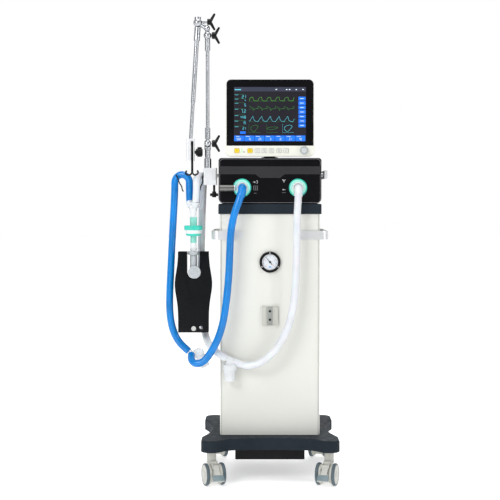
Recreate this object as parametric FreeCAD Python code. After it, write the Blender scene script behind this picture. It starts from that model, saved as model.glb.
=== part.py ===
"""Mobile mechanical ventilator: trolley, gas cabinet, ventilator module, monitor,
circuit arm and patient circuit.

Millimetres, +Z up, the front faces -Y. The shapes are drawn about the cabinet's
centre line and then moved so that the origin is on the floor at the middle of the
footprint of everything except the hoses and what hangs on them.
"""
import FreeCAD, Part
import math
import os

from FreeCAD import Vector

os.makedirs("parts", exist_ok=True)

# Trolley
BASE_BOTTOM = 108.0
BASE_TOP = 148.0
BASE_HALF_WIDTH = 233.0
BASE_FRONT = -307.0
BASE_REAR = 273.0
LEG_RADIUS = 35.0
FLARE = 40.0
FLARE_LENGTH = 48.0
HOLLOW = 27.0
TRAY_DEPTH = 42.0
NOTCH_X = 202.0
STEM_X = 198.0
STEM_RADIUS = 6.0
TRAIL = 28.0
WHEEL_RADIUS = 37.5
WHEEL_WIDTH = 21.0
WHEEL_GAP = 27.0
CASTER_YAW = 18.0
PEDAL_PIN = (-47.0, 66.0)

# Cabinet and shelf
CABINET_HALF_WIDTH = 171.0
CABINET_DEPTH = 350.0
CABINET_FRONT = -CABINET_DEPTH / 2
CABINET_TOP = 905.0
WALL = 2.0
BACK_PAN = 14.0
GAS_INLET_X = (-90.0, -40.0)
GAS_INLET_Z = 250.0
SHELF_HALF_WIDTH = 176.5
SHELF_TOP = 940.0
HANDLE_X = 200.0
HANDLE_LOW = 818.0
HANDLE_HEIGHT = 30.0
STRAP = 4.0
GAUGE_Z = 741.0
GAUGE_RADIUS = 36.0
GAUGE_REST = -41.0
BRACKET_LOW = 524.0
BRACKET_HIGH = 590.0
BRACKET_HOLES = (544.0, 573.0)

# Ventilator module
MODULE_HALF_WIDTH = 175.5
MODULE_TOP = 1096.0
MODULE_BACK = 150.0
PORT_X = 95.0
PORT_Z = 994.5
PORT_FACE = CABINET_FRONT - 22.0
RAIL_X = 186.0
RAIL_THICKNESS = 10.0
RAIL_LOW = 1026.0
RAIL_HIGH = 1054.0

# Monitor
BAND_HALF_WIDTH = 153.5
BAND_LOW = 1101.0
BAND_HIGH = 1138.0
GLASS_HALF_WIDTH = 148.0
GLASS_TOP = 1363.0
MONITOR_FRONT = -167.0
TILT_Y = -92.0
TILT_Z = 1180.0
KEY_Z = 1121.0
KEY_X = {"key_alarm": -113.0, "key_breath": -68.0, "key_suction": -43.0,
         "key_nebuliser": -19.0, "key_freeze": 5.0, "key_standby": 31.0, "key_menu": 55.0}
KNOB_X = 116.0
KNOB_Z = 1122.0

# Circuit arm
ARM_Y = -150.0
POST_X = -213.0
PIVOT_Z = 1146.0
ELBOW_Z = 1514.0
HEAD_X = -246.0
HEAD_Z = 1557.0
BLOCK_X = -272.0
STEM_HANGER_X = -266.0
HANGER_LOW = 1012.0
CLAMP_SCREW_X = -191.0
LOBED_KNOB_Z = 1116.0
T_KNOBS = {"lower_t_knob": (POST_X + 14.5, PIVOT_Z), "elbow_t_knob": (POST_X + 14.5, ELBOW_Z),
           "head_t_knob": (HEAD_X + 32, HEAD_Z + 3)}

# Patient circuit
HOSE_RADIUS = 12.5
LUNG_X = -262.0
LUNG_Y = -150.0
LUNG_TOP = 778.0
LUNG_BOTTOM = 498.0
BEND_SHARE = 0.45
TRAP_1_HUB = Vector(-268, -160, 424)
TRAP_1_CENTRE = Vector(-246, -160, 428)
TRAP_1_AXIS = Vector(0.477, 0, -0.879)
TRAP_2_TOP = Vector(-136.7, -204, 409)
TRAP_2_CENTRE = Vector(-136.7, -204, 386)
WYE_CENTRE = (LUNG_X, LUNG_Y, 912)
WYE_ENDS = ((-275, -136, 946), (-253, -164, 946))

# The hoses' routes, from end to end.
BLUE_SUPPLY = [
    (-PORT_X, PORT_FACE - 25, PORT_Z - 25), (-101, -224, 950), (-115, -226, 922), (-126, -227, 888),
    (-134, -227, 840), (-137, -227, 760), (-140, -227, 690), (-147, -227, 620),
    (-155, -228, 560), (-167, -228, 508), (-185, -229, 464), (-206, -230, 429),
    (-229, -232, 402), (-257, -226, 398), (-270.5, -205, 414), (-268, -182, 424)]
BLUE_RETURN = [
    (-278.5, -160, 434), (-296, -159, 449), (-313, -157, 467), (-329, -154, 495),
    (-340, -150, 532), (-345, -146, 582), (-344, -141, 644), (-341, -136, 706),
    (-338, -131, 778), (-334, -126, 858), (-330, -122, 932), (-327.5, -121.5, 988),
    (-327.5, -121.5, 1028), (-302, -128, 1044), (-276.5, -135, 1028), (-276.5, -135, 1000),
    (-276, -135.5, 974), (-275, -136, 946)]
WHITE_SUPPLY = [
    (PORT_X, PORT_FACE - 25, PORT_Z - 25), (93, -224, 936), (91, -226, 904), (90, -226, 848),
    (89, -226, 780), (87.5, -226, 710), (84, -226, 640), (74, -226, 566),
    (53, -226, 502), (23, -226, 450), (-8, -224, 418), (-40, -219, 397),
    (-70, -212, 389), (-97, -206, 392), (-122, -204, 403.5)]
WHITE_RETURN = [
    (-151, -204, 415), (-176, -203, 430), (-199, -190, 450), (-212, -158, 462),
    (-221, -122, 480), (-230, -96, 518), (-236, -90, 578), (-239, -90, 660),
    (-238, -92, 748), (-236, -95, 836), (-234, -97, 920), (-231, -98, 980),
    (-229, -98, 1025.5), (-240, -132, 1046), (-251, -166, 1025.5), (-250.5, -167, 1000),
    (-251.5, -166, 973), (-253, -164, 946)]

X_AXIS = Vector(1, 0, 0)
Y_AXIS = Vector(0, 1, 0)
Z_AXIS = Vector(0, 0, 1)

nodes = {}
on_the_circuit = set()


def box(low, high):
    """A block between two opposite corners."""
    size = Vector(*high) - Vector(*low)
    return Part.makeBox(size.x, size.y, size.z, Vector(*low))


def rod(start, end, radius):
    """A round bar between two points."""
    start = Vector(*start)
    direction = Vector(*end) - start
    return Part.makeCylinder(radius, direction.Length, start, direction)


def taper(start, end, radius_start, radius_end):
    """A cone frustum between two points."""
    start = Vector(*start)
    direction = Vector(*end) - start
    return Part.makeCone(radius_start, radius_end, direction.Length, start, direction)


def ball(centre, radius):
    return Part.makeSphere(radius, Vector(*centre))


def fuse(shapes):
    """One solid from several that touch or overlap."""
    return shapes[0].multiFuse(shapes[1:]).removeSplitter()


def without(shape, others):
    """The largest piece of a shape that is left when others are cut from it."""
    for other in others:
        shape = shape.cut(other)
    return max(shape.Solids, key=lambda solid: solid.Volume)


def bent_rod(points, radius):
    """A rod through several points with a ball at every corner and end."""
    pieces = [ball(point, radius) for point in points]
    pieces += [rod(a, b, radius) for a, b in zip(points, points[1:])]
    return fuse(pieces)


def round_edges(shape, radius, chosen):
    """Fillet the edges whose middle passes the test."""
    edges = [edge for edge in shape.Edges if chosen(edge, edge.CenterOfMass)]
    return shape.makeFillet(radius, edges)


def is_along(edge, axis):
    if not isinstance(edge.Curve, Part.Line):
        return False
    return abs(abs(edge.Curve.Direction.dot(axis)) - 1) < 1e-6


def rounded_panel(x0, x1, z0, z1, y0, y1, low_radius, high_radius):
    """A plate facing -Y with its lower and upper corners rounded."""
    plate = box((x0, y0, z0), (x1, y1, z1))
    middle = (z0 + z1) / 2
    if low_radius:
        plate = round_edges(plate, low_radius, lambda e, c: is_along(e, Y_AXIS) and c.z < middle)
    if high_radius:
        plate = round_edges(plate, high_radius, lambda e, c: is_along(e, Y_AXIS) and c.z > middle)
    return plate


def upright_block(x0, x1, y0, y1, z0, z1, radius):
    """A block with its four upright edges rounded."""
    return round_edges(box((x0, y0, z0), (x1, y1, z1)), radius, lambda e, c: is_along(e, Z_AXIS))


def mirrored(shape):
    return shape.mirror(Vector(0, 0, 0), X_AXIS)


def base_outline():
    """Plan of the casting: round leg ends that flare into hollow front, rear and side edges."""
    side = BASE_HALF_WIDTH
    front = BASE_FRONT + LEG_RADIUS
    rear = BASE_REAR - LEG_RADIUS
    middle = (BASE_FRONT + BASE_REAR) / 2
    shoulder = 70.0
    flare = math.radians(FLARE)
    leg_x = STEM_X - LEG_RADIUS * math.cos(flare)
    leg_y = LEG_RADIUS * math.sin(flare)
    inner_x = leg_x - FLARE_LENGTH * math.sin(flare)
    inner_y = leg_y - FLARE_LENGTH * math.cos(flare)
    corners = [
        (Vector(-inner_x, front - inner_y, 0), Vector(0, front + HOLLOW, 0),
         Vector(inner_x, front - inner_y, 0)),
        (Vector(leg_x, front - leg_y, 0), Vector(STEM_X, BASE_FRONT, 0), Vector(side, front, 0)),
        (Vector(side, front + shoulder, 0), Vector(NOTCH_X, middle, 0), Vector(side, rear - shoulder, 0)),
        (Vector(side, rear, 0), Vector(STEM_X, BASE_REAR, 0), Vector(leg_x, rear + leg_y, 0)),
        (Vector(inner_x, rear + inner_y, 0), Vector(0, rear - HOLLOW, 0),
         Vector(-inner_x, rear + inner_y, 0)),
        (Vector(-leg_x, rear + leg_y, 0), Vector(-STEM_X, BASE_REAR, 0), Vector(-side, rear, 0)),
        (Vector(-side, rear - shoulder, 0), Vector(-NOTCH_X, middle, 0), Vector(-side, front + shoulder, 0)),
        (Vector(-side, front, 0), Vector(-STEM_X, BASE_FRONT, 0), Vector(-leg_x, front - leg_y, 0)),
    ]
    edges = []
    for index, (start, through, end) in enumerate(corners):
        edges.append(Part.Arc(start, through, end).toShape())
        following = corners[(index + 1) % len(corners)][0]
        edges.append(Part.LineSegment(end, following).toShape())
    return Part.Wire(edges)


def caster_positions():
    """Name, stem position and yaw of each caster, the wheels trailing towards -Y."""
    front = BASE_FRONT + LEG_RADIUS
    rear = BASE_REAR - LEG_RADIUS
    return [("front_left", -STEM_X, front, CASTER_YAW), ("front_right", STEM_X, front, -CASTER_YAW),
            ("rear_left", -STEM_X, rear, CASTER_YAW), ("rear_right", STEM_X, rear, -CASTER_YAW)]


def base_casting():
    face = Part.Face(base_outline())
    face.translate(Vector(0, 0, BASE_BOTTOM))
    casting = face.extrude(Vector(0, 0, BASE_TOP - BASE_BOTTOM))
    casting = round_edges(casting, 50.0, lambda e, c: is_along(e, Z_AXIS) and abs(c.x) < 150)
    casting = round_edges(casting, 8.0, lambda e, c: abs(c.z - BASE_TOP) < 0.01)
    casting = round_edges(casting, 3.0, lambda e, c: abs(c.z - BASE_BOTTOM) < 0.01)
    for _, x, y, _ in caster_positions():
        casting = casting.cut(rod((x, y, BASE_BOTTOM - 1), (x, y, BASE_TOP - 10), STEM_RADIUS + 0.1))
    return casting


def caster_fork():
    """Stem, collar and the yoke between the twin wheels, drawn at the stem's axis."""
    axle = Vector(0, -TRAIL, WHEEL_RADIUS)
    half = WHEEL_GAP / 2 - 1
    hub = rod((-half, axle.y, axle.z), (half, axle.y, axle.z), 27.0)
    neck = box((-half, -38, 45), (half, 14, 80))
    neck = round_edges(neck, 8.0, lambda e, c: is_along(e, Z_AXIS))
    collar = rod((0, 0, 72), (0, 0, BASE_BOTTOM - 0.5), 16.0)
    stem = rod((0, 0, 90), (0, 0, BASE_TOP - 12), STEM_RADIUS)
    pin_y, pin_z = PEDAL_PIN
    ears = [box((x - 1, pin_y - 6, pin_z - 7), (x + 1, -36, pin_z + 7)) for x in (1 - half, half - 1)]
    pin = rod((-half, pin_y, pin_z), (half, pin_y, pin_z), 2.0)
    body = fuse([hub, neck, collar, stem])
    body = body.cut(rod((2 - half, pin_y, pin_z), (half - 2, pin_y, pin_z), 7.5))
    body = fuse([body] + ears + [pin])
    return body.cut(rod((-half - 1, axle.y, axle.z), (half + 1, axle.y, axle.z), 4.05))


def caster_wheels():
    """Two tyres with dished discs on one axle."""
    inner = WHEEL_GAP / 2
    outer = inner + WHEEL_WIDTH
    wheels = []
    for side in (-1, 1):
        wheel = rod((side * inner, -TRAIL, WHEEL_RADIUS), (side * outer, -TRAIL, WHEEL_RADIUS), WHEEL_RADIUS)
        wheel = round_edges(wheel, 5.0, lambda e, c: isinstance(e.Curve, Part.Circle))
        dish = rod((side * (outer - 2), -TRAIL, WHEEL_RADIUS), (side * (outer + 1), -TRAIL, WHEEL_RADIUS),
                   29.0)
        wheels.append(wheel.cut(dish))
    axle = rod((-inner, -TRAIL, WHEEL_RADIUS), (inner, -TRAIL, WHEEL_RADIUS), 4.0)
    return fuse(wheels + [axle])


def slanted_bar(start, end, half_width, thickness):
    """Flat bar centred on x = 0 between two (y, z) places."""
    start, end = Vector(0, *start), Vector(0, *end)
    across = (end - start).normalize().cross(X_AXIS) * (thickness / 2)
    corners = [start + across, end + across, end - across, start - across]
    side = Part.Face(Part.makePolygon(corners + corners[:1]))
    bar = side.extrude(Vector(2 * half_width, 0, 0))
    bar.translate(Vector(-half_width, 0, 0))
    return bar


def brake_pedal():
    """Foot lever that hangs from a cross pin and ends in a wide paddle in front of the wheels."""
    half = WHEEL_GAP / 2 - 3.4
    pin_y, pin_z = PEDAL_PIN
    knee = (pin_y - 29, pin_z - 27)
    tip = (pin_y - 46, pin_z - 42)
    boss = rod((-half, pin_y, pin_z), (half, pin_y, pin_z), 5.0)
    arm = slanted_bar((pin_y - 2, pin_z - 2), knee, half, 4.0)
    bend = rod((-half, *knee), (half, *knee), 2.6)
    paddle = slanted_bar(knee, tip, 18.0, 4.0)
    pedal = fuse([boss, arm, bend, paddle])
    return pedal.cut(rod((-half - 1, pin_y, pin_z), (half + 1, pin_y, pin_z), 2.05))


def cabinet_block(inset, back):
    """Rounded cabinet block, drawn in from the outer skin by an inset."""
    return upright_block(inset - CABINET_HALF_WIDTH, CABINET_HALF_WIDTH - inset, CABINET_FRONT + inset,
                         back, BASE_TOP + inset, CABINET_TOP - inset, 12.0 - inset)


def cabinet_shell():
    """Sheet-metal cabinet, open at the back, with a hole for the gauge body."""
    back = -CABINET_FRONT
    shell = cabinet_block(0, back).cut(cabinet_block(WALL, back + 20))
    rear = box((-200, back - BACK_PAN, 0), (200, back + 1, CABINET_TOP + 1))
    shell = shell.cut(rear)
    return shell.cut(rod((0, CABINET_FRONT - 1, GAUGE_Z), (0, CABINET_FRONT + 10, GAUGE_Z), 25.5))


def cabinet_back_panel():
    """Pan-shaped rear cover with two gas inlets and a mains inlet."""
    back = -CABINET_FRONT
    keep = box((-200, back - BACK_PAN, 0), (200, back + 1, CABINET_TOP + 1))
    panel = cabinet_block(0, back).common(keep)
    panel = panel.cut(cabinet_block(WALL, back - WALL))
    panel = panel.cut(box((60, back - 5, 238), (92, back + 1, 262)))
    socket = box((58, back - 18, 236), (94, back - WALL, 264)).cut(box((60, back - 16, 238), (92, back, 262)))
    pieces = [panel, socket]
    for x in GAS_INLET_X:
        pieces.append(rod((x, back - 10, GAS_INLET_Z), (x, back + 22, GAS_INLET_Z), 7.0))
        pieces.append(rod((x, back - 1, GAS_INLET_Z), (x, back + 6, GAS_INLET_Z), 12.0))
    return fuse(pieces)


def compressor():
    """Internal compressor: a receiver tank, a motor and a pump head on a tray."""
    floor = BASE_TOP + WALL
    tray = box((-120, -120, floor), (120, 110, floor + 8))
    tank = rod((-110, -30, floor + 75), (110, -30, floor + 75), 68.0)
    motor = rod((0, -30, floor + 140), (0, -30, floor + 260), 52.0)
    head = box((-70, -65, floor + 255), (70, 5, floor + 310))
    return fuse([tray, tank, motor, head])


def top_shelf():
    shelf = upright_block(-SHELF_HALF_WIDTH, SHELF_HALF_WIDTH, CABINET_FRONT - 4, -CABINET_FRONT + 4,
                          CABINET_TOP, SHELF_TOP, 16.0)
    return round_edges(shelf, 5.0, lambda e, c: abs(c.z - SHELF_TOP) < 0.01)


def side_handles():
    """Flat strap that leaves the front, runs along the side and returns to the back."""
    outer = HANDLE_X
    depth = -CABINET_FRONT
    bend = 22.0
    inner_end = 90.0
    loop = box((-outer, -depth - STRAP, HANDLE_LOW), (-inner_end, depth + STRAP, HANDLE_LOW + HANDLE_HEIGHT))
    loop = round_edges(loop, bend, lambda e, c: is_along(e, Z_AXIS) and c.x < -outer + 1)
    gap = box((STRAP - outer, -depth, HANDLE_LOW - 1), (1 - inner_end, depth, HANDLE_LOW + HANDLE_HEIGHT + 1))
    gap = round_edges(gap, bend - STRAP, lambda e, c: is_along(e, Z_AXIS) and c.x < STRAP - outer + 1)
    strap = loop.cut(gap)
    strap = round_edges(strap, HANDLE_HEIGHT / 2 - 0.2,
                        lambda e, c: is_along(e, Y_AXIS) and c.x > -inner_end - 1)
    return Part.Compound([strap, mirrored(strap)])


def gauge_housing():
    """Panel flange with its dial plate and three screws."""
    front = CABINET_FRONT - 9
    flange = rod((0, CABINET_FRONT, GAUGE_Z), (0, front, GAUGE_Z), GAUGE_RADIUS)
    flange = round_edges(flange, 2.0, lambda e, c: abs(c.y - front) < 0.01)
    flange = flange.cut(rod((0, CABINET_FRONT - 2, GAUGE_Z), (0, front - 1, GAUGE_Z), 27.0))
    case = rod((0, CABINET_FRONT - 2, GAUGE_Z), (0, CABINET_FRONT + 38, GAUGE_Z), 25.0)
    spindle = rod((0, CABINET_FRONT - 2, GAUGE_Z), (0, CABINET_FRONT - 6, GAUGE_Z), 1.0)
    pieces = [fuse([flange, case, spindle])]
    for angle in (90, 210, 330):
        x = 31.5 * math.cos(math.radians(angle))
        z = GAUGE_Z + 31.5 * math.sin(math.radians(angle))
        pieces.append(rod((x, front, z), (x, front - 1.5, z), 3.0))
    return Part.Compound(pieces)


def gauge_needle():
    """Tapered pointer, drawn pointing to rest on the dial's scale."""
    y = CABINET_FRONT - 5.0
    outline = Part.makePolygon([Vector(-1.2, y, -12), Vector(1.2, y, -12), Vector(0.4, y, 22),
                                Vector(-0.4, y, 22), Vector(-1.2, y, -12)])
    blade = Part.Face(outline).extrude(Vector(0, 0.8, 0))
    hub = rod((0, y - 0.5, 0), (0, y + 1.5, 0), 3.5)
    needle = fuse([blade, hub]).cut(rod((0, y - 2, 0), (0, y + 4, 0), 1.05))
    needle.rotate(Vector(0, 0, 0), Y_AXIS, GAUGE_REST)
    needle.translate(Vector(0, 0, GAUGE_Z))
    return needle


def accessory_bracket():
    """Screwed plate with raised, undercut side bands and a recessed middle."""
    back = CABINET_FRONT
    plate = box((-27.5, back - 4, BRACKET_LOW), (27.5, back, BRACKET_HIGH))
    bands = []
    for side in (-1, 1):
        outline = Part.makePolygon([
            Vector(side * 27.5, back - 4, BRACKET_LOW), Vector(side * 27.5, back - 9, BRACKET_LOW),
            Vector(side * 14, back - 9, BRACKET_LOW), Vector(side * 17, back - 4, BRACKET_LOW),
            Vector(side * 27.5, back - 4, BRACKET_LOW)])
        bands.append(Part.Face(outline).extrude(Vector(0, 0, BRACKET_HIGH - BRACKET_LOW)))
    bracket = fuse([plate] + bands)
    for z in BRACKET_HOLES:
        bracket = bracket.cut(rod((0, back + 1, z), (0, back - 10, z), 3.5))
    return bracket


def module_shell():
    """Ventilator casing, open at the front, with a bore for the monitor's turntable."""
    outer = rounded_panel(-MODULE_HALF_WIDTH, MODULE_HALF_WIDTH, SHELF_TOP, MODULE_TOP,
                          CABINET_FRONT + 10, MODULE_BACK, 20, 10)
    inner = rounded_panel(WALL - MODULE_HALF_WIDTH, MODULE_HALF_WIDTH - WALL, SHELF_TOP + WALL,
                          MODULE_TOP - WALL, CABINET_FRONT, MODULE_BACK - WALL, 17, 7)
    shell = outer.cut(inner)
    return shell.cut(rod((0, TILT_Y, MODULE_TOP - 10), (0, TILT_Y, MODULE_TOP + 1), 10.1))


def module_front():
    front = CABINET_FRONT
    panel = rounded_panel(-MODULE_HALF_WIDTH, MODULE_HALF_WIDTH, SHELF_TOP, MODULE_TOP,
                          front, front + 10, 20, 10)
    return round_edges(panel, 3.0, lambda e, c: abs(c.y - front) < 0.01)


def port_filters():
    """Round filter cap on each breathing port, with a raised ring."""
    pieces = []
    for side in (-1, 1):
        x = side * PORT_X
        cap = rod((x, CABINET_FRONT, PORT_Z), (x, CABINET_FRONT - 14, PORT_Z), 31.0)
        cap = round_edges(cap, 4.0, lambda e, c: abs(c.y - CABINET_FRONT + 14) < 0.01)
        ring = rod((x, CABINET_FRONT - 10, PORT_Z), (x, PORT_FACE, PORT_Z), 18.5)
        pieces.append(fuse([cap, ring]))
    return Part.Compound(pieces)


def port_elbows():
    """Swept elbow from each port face that turns the hose downwards."""
    pieces = []
    bend = 25.0
    for side in (-1, 1):
        x = side * PORT_X
        start = Vector(x, PORT_FACE, PORT_Z)
        turn = Vector(x, PORT_FACE - bend * math.sin(math.pi / 4),
                      PORT_Z - bend * (1 - math.cos(math.pi / 4)))
        end = Vector(x, PORT_FACE - bend, PORT_Z - bend)
        path = Part.Wire([Part.Arc(start, turn, end).toShape()])
        profile = Part.Wire([Part.Circle(start, Y_AXIS, HOSE_RADIUS + 1.5).toShape()])
        pieces.append(path.makePipeShell([profile], True, True))
    return Part.Compound(pieces)


def side_rails():
    """Flat equipment rail on stand-offs at both sides, and the outlet tube at the left port."""
    front, back = -168.0, 110.0
    rail = box((RAIL_X, front, RAIL_LOW), (RAIL_X + RAIL_THICKNESS, back, RAIL_HIGH))
    rail = round_edges(rail, 1.5, lambda e, c: is_along(e, Y_AXIS))
    middle = (RAIL_LOW + RAIL_HIGH) / 2
    posts = [rod((MODULE_HALF_WIDTH, y, middle), (RAIL_X + 1, y, middle), 7.0) for y in (-60, 70)]
    right = fuse([rail] + posts)
    outlet = rod((-172, CABINET_FRONT - 13, 993), (-118, CABINET_FRONT - 13, 993), 11.0)
    outlet = round_edges(outlet, 2.0, lambda e, c: isinstance(e.Curve, Part.Circle))
    foot = box((-166, CABINET_FRONT - 13, 986), (-134, CABINET_FRONT, 1000))
    outlet = without(fuse([outlet, foot]), [port_filters()])
    return Part.Compound([right, mirrored(right), outlet])


def blower():
    """Internal turbine blower with its outlet duct."""
    floor = SHELF_TOP + WALL
    volute = rod((60, 20, floor), (60, 20, floor + 60), 55.0)
    motor = rod((60, 20, floor + 58), (60, 20, floor + 100), 30.0)
    duct = rod((60, 20, floor + 30), (-70, 20, floor + 30), 15.0)
    return fuse([volute, motor, duct])


def monitor_neck():
    """Turntable, column and tilt pin under the monitor."""
    disc = rod((0, TILT_Y, MODULE_TOP + 0.3), (0, TILT_Y, MODULE_TOP + 4.5), 28.5)
    spigot = rod((0, TILT_Y, MODULE_TOP - 8), (0, TILT_Y, MODULE_TOP + 2), 10.0)
    column = box((-20, TILT_Y - 12, MODULE_TOP + 4), (20, TILT_Y + 12, TILT_Z))
    knuckle = rod((-20, TILT_Y, TILT_Z), (20, TILT_Y, TILT_Z), 12.0)
    pin = rod((-29, TILT_Y, TILT_Z), (29, TILT_Y, TILT_Z), 4.0)
    return fuse([disc, spigot, column, knuckle, pin])


def monitor_rear_shell():
    """Hollow rear casing with the two tilt ears."""
    front, back = MONITOR_FRONT + 14, TILT_Y - 16
    outer = rounded_panel(-150, 150, BAND_LOW + 3, GLASS_TOP - 2, front, back, 22, 14)
    outer = round_edges(outer, 10.0, lambda e, c: abs(c.y - back) < 0.01)
    inner = rounded_panel(-147, 147, BAND_LOW + 6, GLASS_TOP - 5, front - 1, back - 3, 19, 11)
    shell = outer.cut(inner)
    ears = []
    for x in (-25.2, 25.2):
        ears.append(box((x - 2.8, back - 2, TILT_Z - 12), (x + 2.8, TILT_Y, TILT_Z + 12)))
        ears.append(rod((x - 2.8, TILT_Y, TILT_Z), (x + 2.8, TILT_Y, TILT_Z), 12.0))
    shell = fuse([shell] + ears)
    return shell.cut(rod((-40, TILT_Y, TILT_Z), (40, TILT_Y, TILT_Z), 4.05))


def monitor_bezel():
    """Upper front frame around the screen."""
    front = MONITOR_FRONT + 2
    frame = rounded_panel(-GLASS_HALF_WIDTH, GLASS_HALF_WIDTH, BAND_HIGH, GLASS_TOP,
                          front, front + 12, 0, 15)
    return frame.cut(box((-123, front - 1, 1152), (123, front + 13, 1338)))


def screen_panel():
    front = MONITOR_FRONT + 2.5
    return box((-123, front, 1152), (123, front + 8, 1338))


def monitor_band():
    """Lower front panel that holds the keys and the rotary knob."""
    front = MONITOR_FRONT
    band = rounded_panel(-BAND_HALF_WIDTH, BAND_HALF_WIDTH, BAND_LOW, BAND_HIGH, front, front + 14, 22, 0)
    band = round_edges(band, 2.0, lambda e, c: abs(c.y - front) < 0.01)
    for x in KEY_X.values():
        hole = box((x - 9.3, front - 1, KEY_Z - 8.3), (x + 9.3, front + 15, KEY_Z + 8.3))
        band = band.cut(round_edges(hole, 3.2, lambda e, c: is_along(e, Y_AXIS)))
    return band.cut(rod((KNOB_X, front - 1, KNOB_Z), (KNOB_X, front + 15, KNOB_Z), 3.1))


def key(x):
    """Push key whose face stands 2 mm proud of the panel."""
    front = MONITOR_FRONT - 2
    cap = box((x - 9, front, KEY_Z - 8), (x + 9, front + 12, KEY_Z + 8))
    cap = round_edges(cap, 3.0, lambda e, c: is_along(e, Y_AXIS))
    return round_edges(cap, 0.8, lambda e, c: abs(c.y - front) < 0.01)


def rotary_knob():
    front = MONITOR_FRONT - 16
    grip = rod((KNOB_X, MONITOR_FRONT - 0.5, KNOB_Z), (KNOB_X, front, KNOB_Z), 12.5)
    grip = round_edges(grip, 2.0, lambda e, c: abs(c.y - front) < 0.01)
    shaft = rod((KNOB_X, MONITOR_FRONT - 1, KNOB_Z), (KNOB_X, MONITOR_FRONT + 12, KNOB_Z), 3.05)
    return fuse([grip, shaft])


def rail_clamp():
    """Block that grips the left rail, with a socket for the arm's post."""
    left, right = -227.0, -181.0
    block = box((left, ARM_Y - 15, 1004), (right, ARM_Y + 15, 1062))
    block = round_edges(block, 4.0, lambda e, c: is_along(e, Z_AXIS))
    slot = box((-RAIL_X - RAIL_THICKNESS - 0.2, ARM_Y - 16, RAIL_LOW - 0.2),
               (0.2 - RAIL_X, ARM_Y + 16, RAIL_HIGH + 0.2))
    thread = rod((CLAMP_SCREW_X, ARM_Y, 1000), (CLAMP_SCREW_X, ARM_Y, 1030), 4.05)
    return block.cut(slot).cut(thread)


def clamp_screw():
    """Tommy-bar screw that tightens the clamp from below."""
    x = CLAMP_SCREW_X
    screw = rod((x, ARM_Y, 965), (x, ARM_Y, RAIL_LOW - 0.3), 4.0)
    head = rod((x, ARM_Y, 962), (x, ARM_Y, 982), 7.0)
    bar = rod((x - 14, ARM_Y, 971), (x + 14, ARM_Y, 971), 5.0)
    bar = round_edges(bar, 2.0, lambda e, c: isinstance(e.Curve, Part.Circle))
    return fuse([screw, head, bar])


def pivot_slice(x, half_width, radius):
    """Slice of a ball, used for the cheeks and the tongue of the lower joint."""
    sphere = ball((POST_X, ARM_Y, PIVOT_Z), radius)
    slab = box((x - half_width, ARM_Y - 20, PIVOT_Z - 20), (x + half_width, ARM_Y + 20, PIVOT_Z + 20))
    return sphere.common(slab)


def arm_post():
    """Collar and sleeve above the clamp, ending in two cheeks with the pivot pin."""
    collar = rod((POST_X, ARM_Y, 1062), (POST_X, ARM_Y, 1095), 12.5)
    sleeve = rod((POST_X, ARM_Y, 1090), (POST_X, ARM_Y, PIVOT_Z - 14.5), 9.5)
    cheeks = []
    for side in (-1, 1):
        x = POST_X + side * 9.6
        cheeks.append(pivot_slice(x, 1.5, 14.0))
        cheeks.append(box((x - 1.5, ARM_Y - 8, PIVOT_Z - 20), (x + 1.5, ARM_Y + 8, PIVOT_Z)))
    cheeks.append(box((POST_X - 11.1, ARM_Y - 8, PIVOT_Z - 22), (POST_X + 11.1, ARM_Y + 8, PIVOT_Z - 14.5)))
    pin = rod((POST_X - 12, ARM_Y, PIVOT_Z), (POST_X + 14, ARM_Y, PIVOT_Z), 3.0)
    return fuse([collar, sleeve] + cheeks + [pin])


def arm_lower_rod():
    """Tongue of the lower joint, rod with its two sleeves, and the elbow ball."""
    tongue = pivot_slice(POST_X, 7.8, 14.0)
    tongue = tongue.cut(rod((POST_X - 20, ARM_Y, PIVOT_Z), (POST_X + 20, ARM_Y, PIVOT_Z), 3.05))
    lower_sleeve = rod((POST_X, ARM_Y, PIVOT_Z + 15), (POST_X, ARM_Y, 1199), 9.5)
    root = rod((POST_X, ARM_Y, PIVOT_Z + 8), (POST_X, ARM_Y, PIVOT_Z + 20), 6.0)
    middle = rod((POST_X, ARM_Y, 1195), (POST_X, ARM_Y, 1465), 6.5)
    upper_sleeve = rod((POST_X, ARM_Y, 1462), (POST_X, ARM_Y, 1503), 9.5)
    elbow = ball((POST_X, ARM_Y, ELBOW_Z), 14.0)
    return fuse([tongue, root, lower_sleeve, middle, upper_sleeve, elbow])


def arm_head_link():
    """Double socket that joins the two rods at the top."""
    low = ball((POST_X - 2, ARM_Y, ELBOW_Z + 24), 11.0)
    high = ball((HEAD_X, ARM_Y, HEAD_Z), 16.0)
    cap = rod((HEAD_X, ARM_Y, HEAD_Z + 8), (HEAD_X, ARM_Y, HEAD_Z + 19), 12.0)
    bridge = rod((POST_X - 2, ARM_Y, ELBOW_Z + 24), (HEAD_X, ARM_Y, HEAD_Z), 8.0)
    neck = rod((POST_X, ARM_Y, ELBOW_Z + 12), (POST_X - 2, ARM_Y, ELBOW_Z + 24), 8.0)
    knob_x, knob_z = T_KNOBS["head_t_knob"]
    stub = rod((HEAD_X, ARM_Y, knob_z), (knob_x - 0.4, ARM_Y, knob_z), 5.0)
    link = fuse([low, high, cap, bridge, neck, stub])
    return link.cut(ball((POST_X, ARM_Y, ELBOW_Z), 14.0))


def arm_upper_rod():
    """Stepped rod that hangs from the head link down to the end block."""
    foot = Vector(BLOCK_X + 1, ARM_Y, 1160)
    top = Vector(HEAD_X, ARM_Y, HEAD_Z)
    direction = (top - foot).normalize()
    sleeve_end = top - direction * 15.5
    sleeve_start = top - direction * 62
    step = foot + direction * 126
    pieces = [rod(foot, step + direction, 6.5), rod(step, sleeve_start + direction, 8.0),
              rod(sleeve_start, sleeve_end, 11.0)]
    shape = fuse(pieces)
    return shape.cut(ball((HEAD_X, ARM_Y, HEAD_Z), 16.0))


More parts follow.
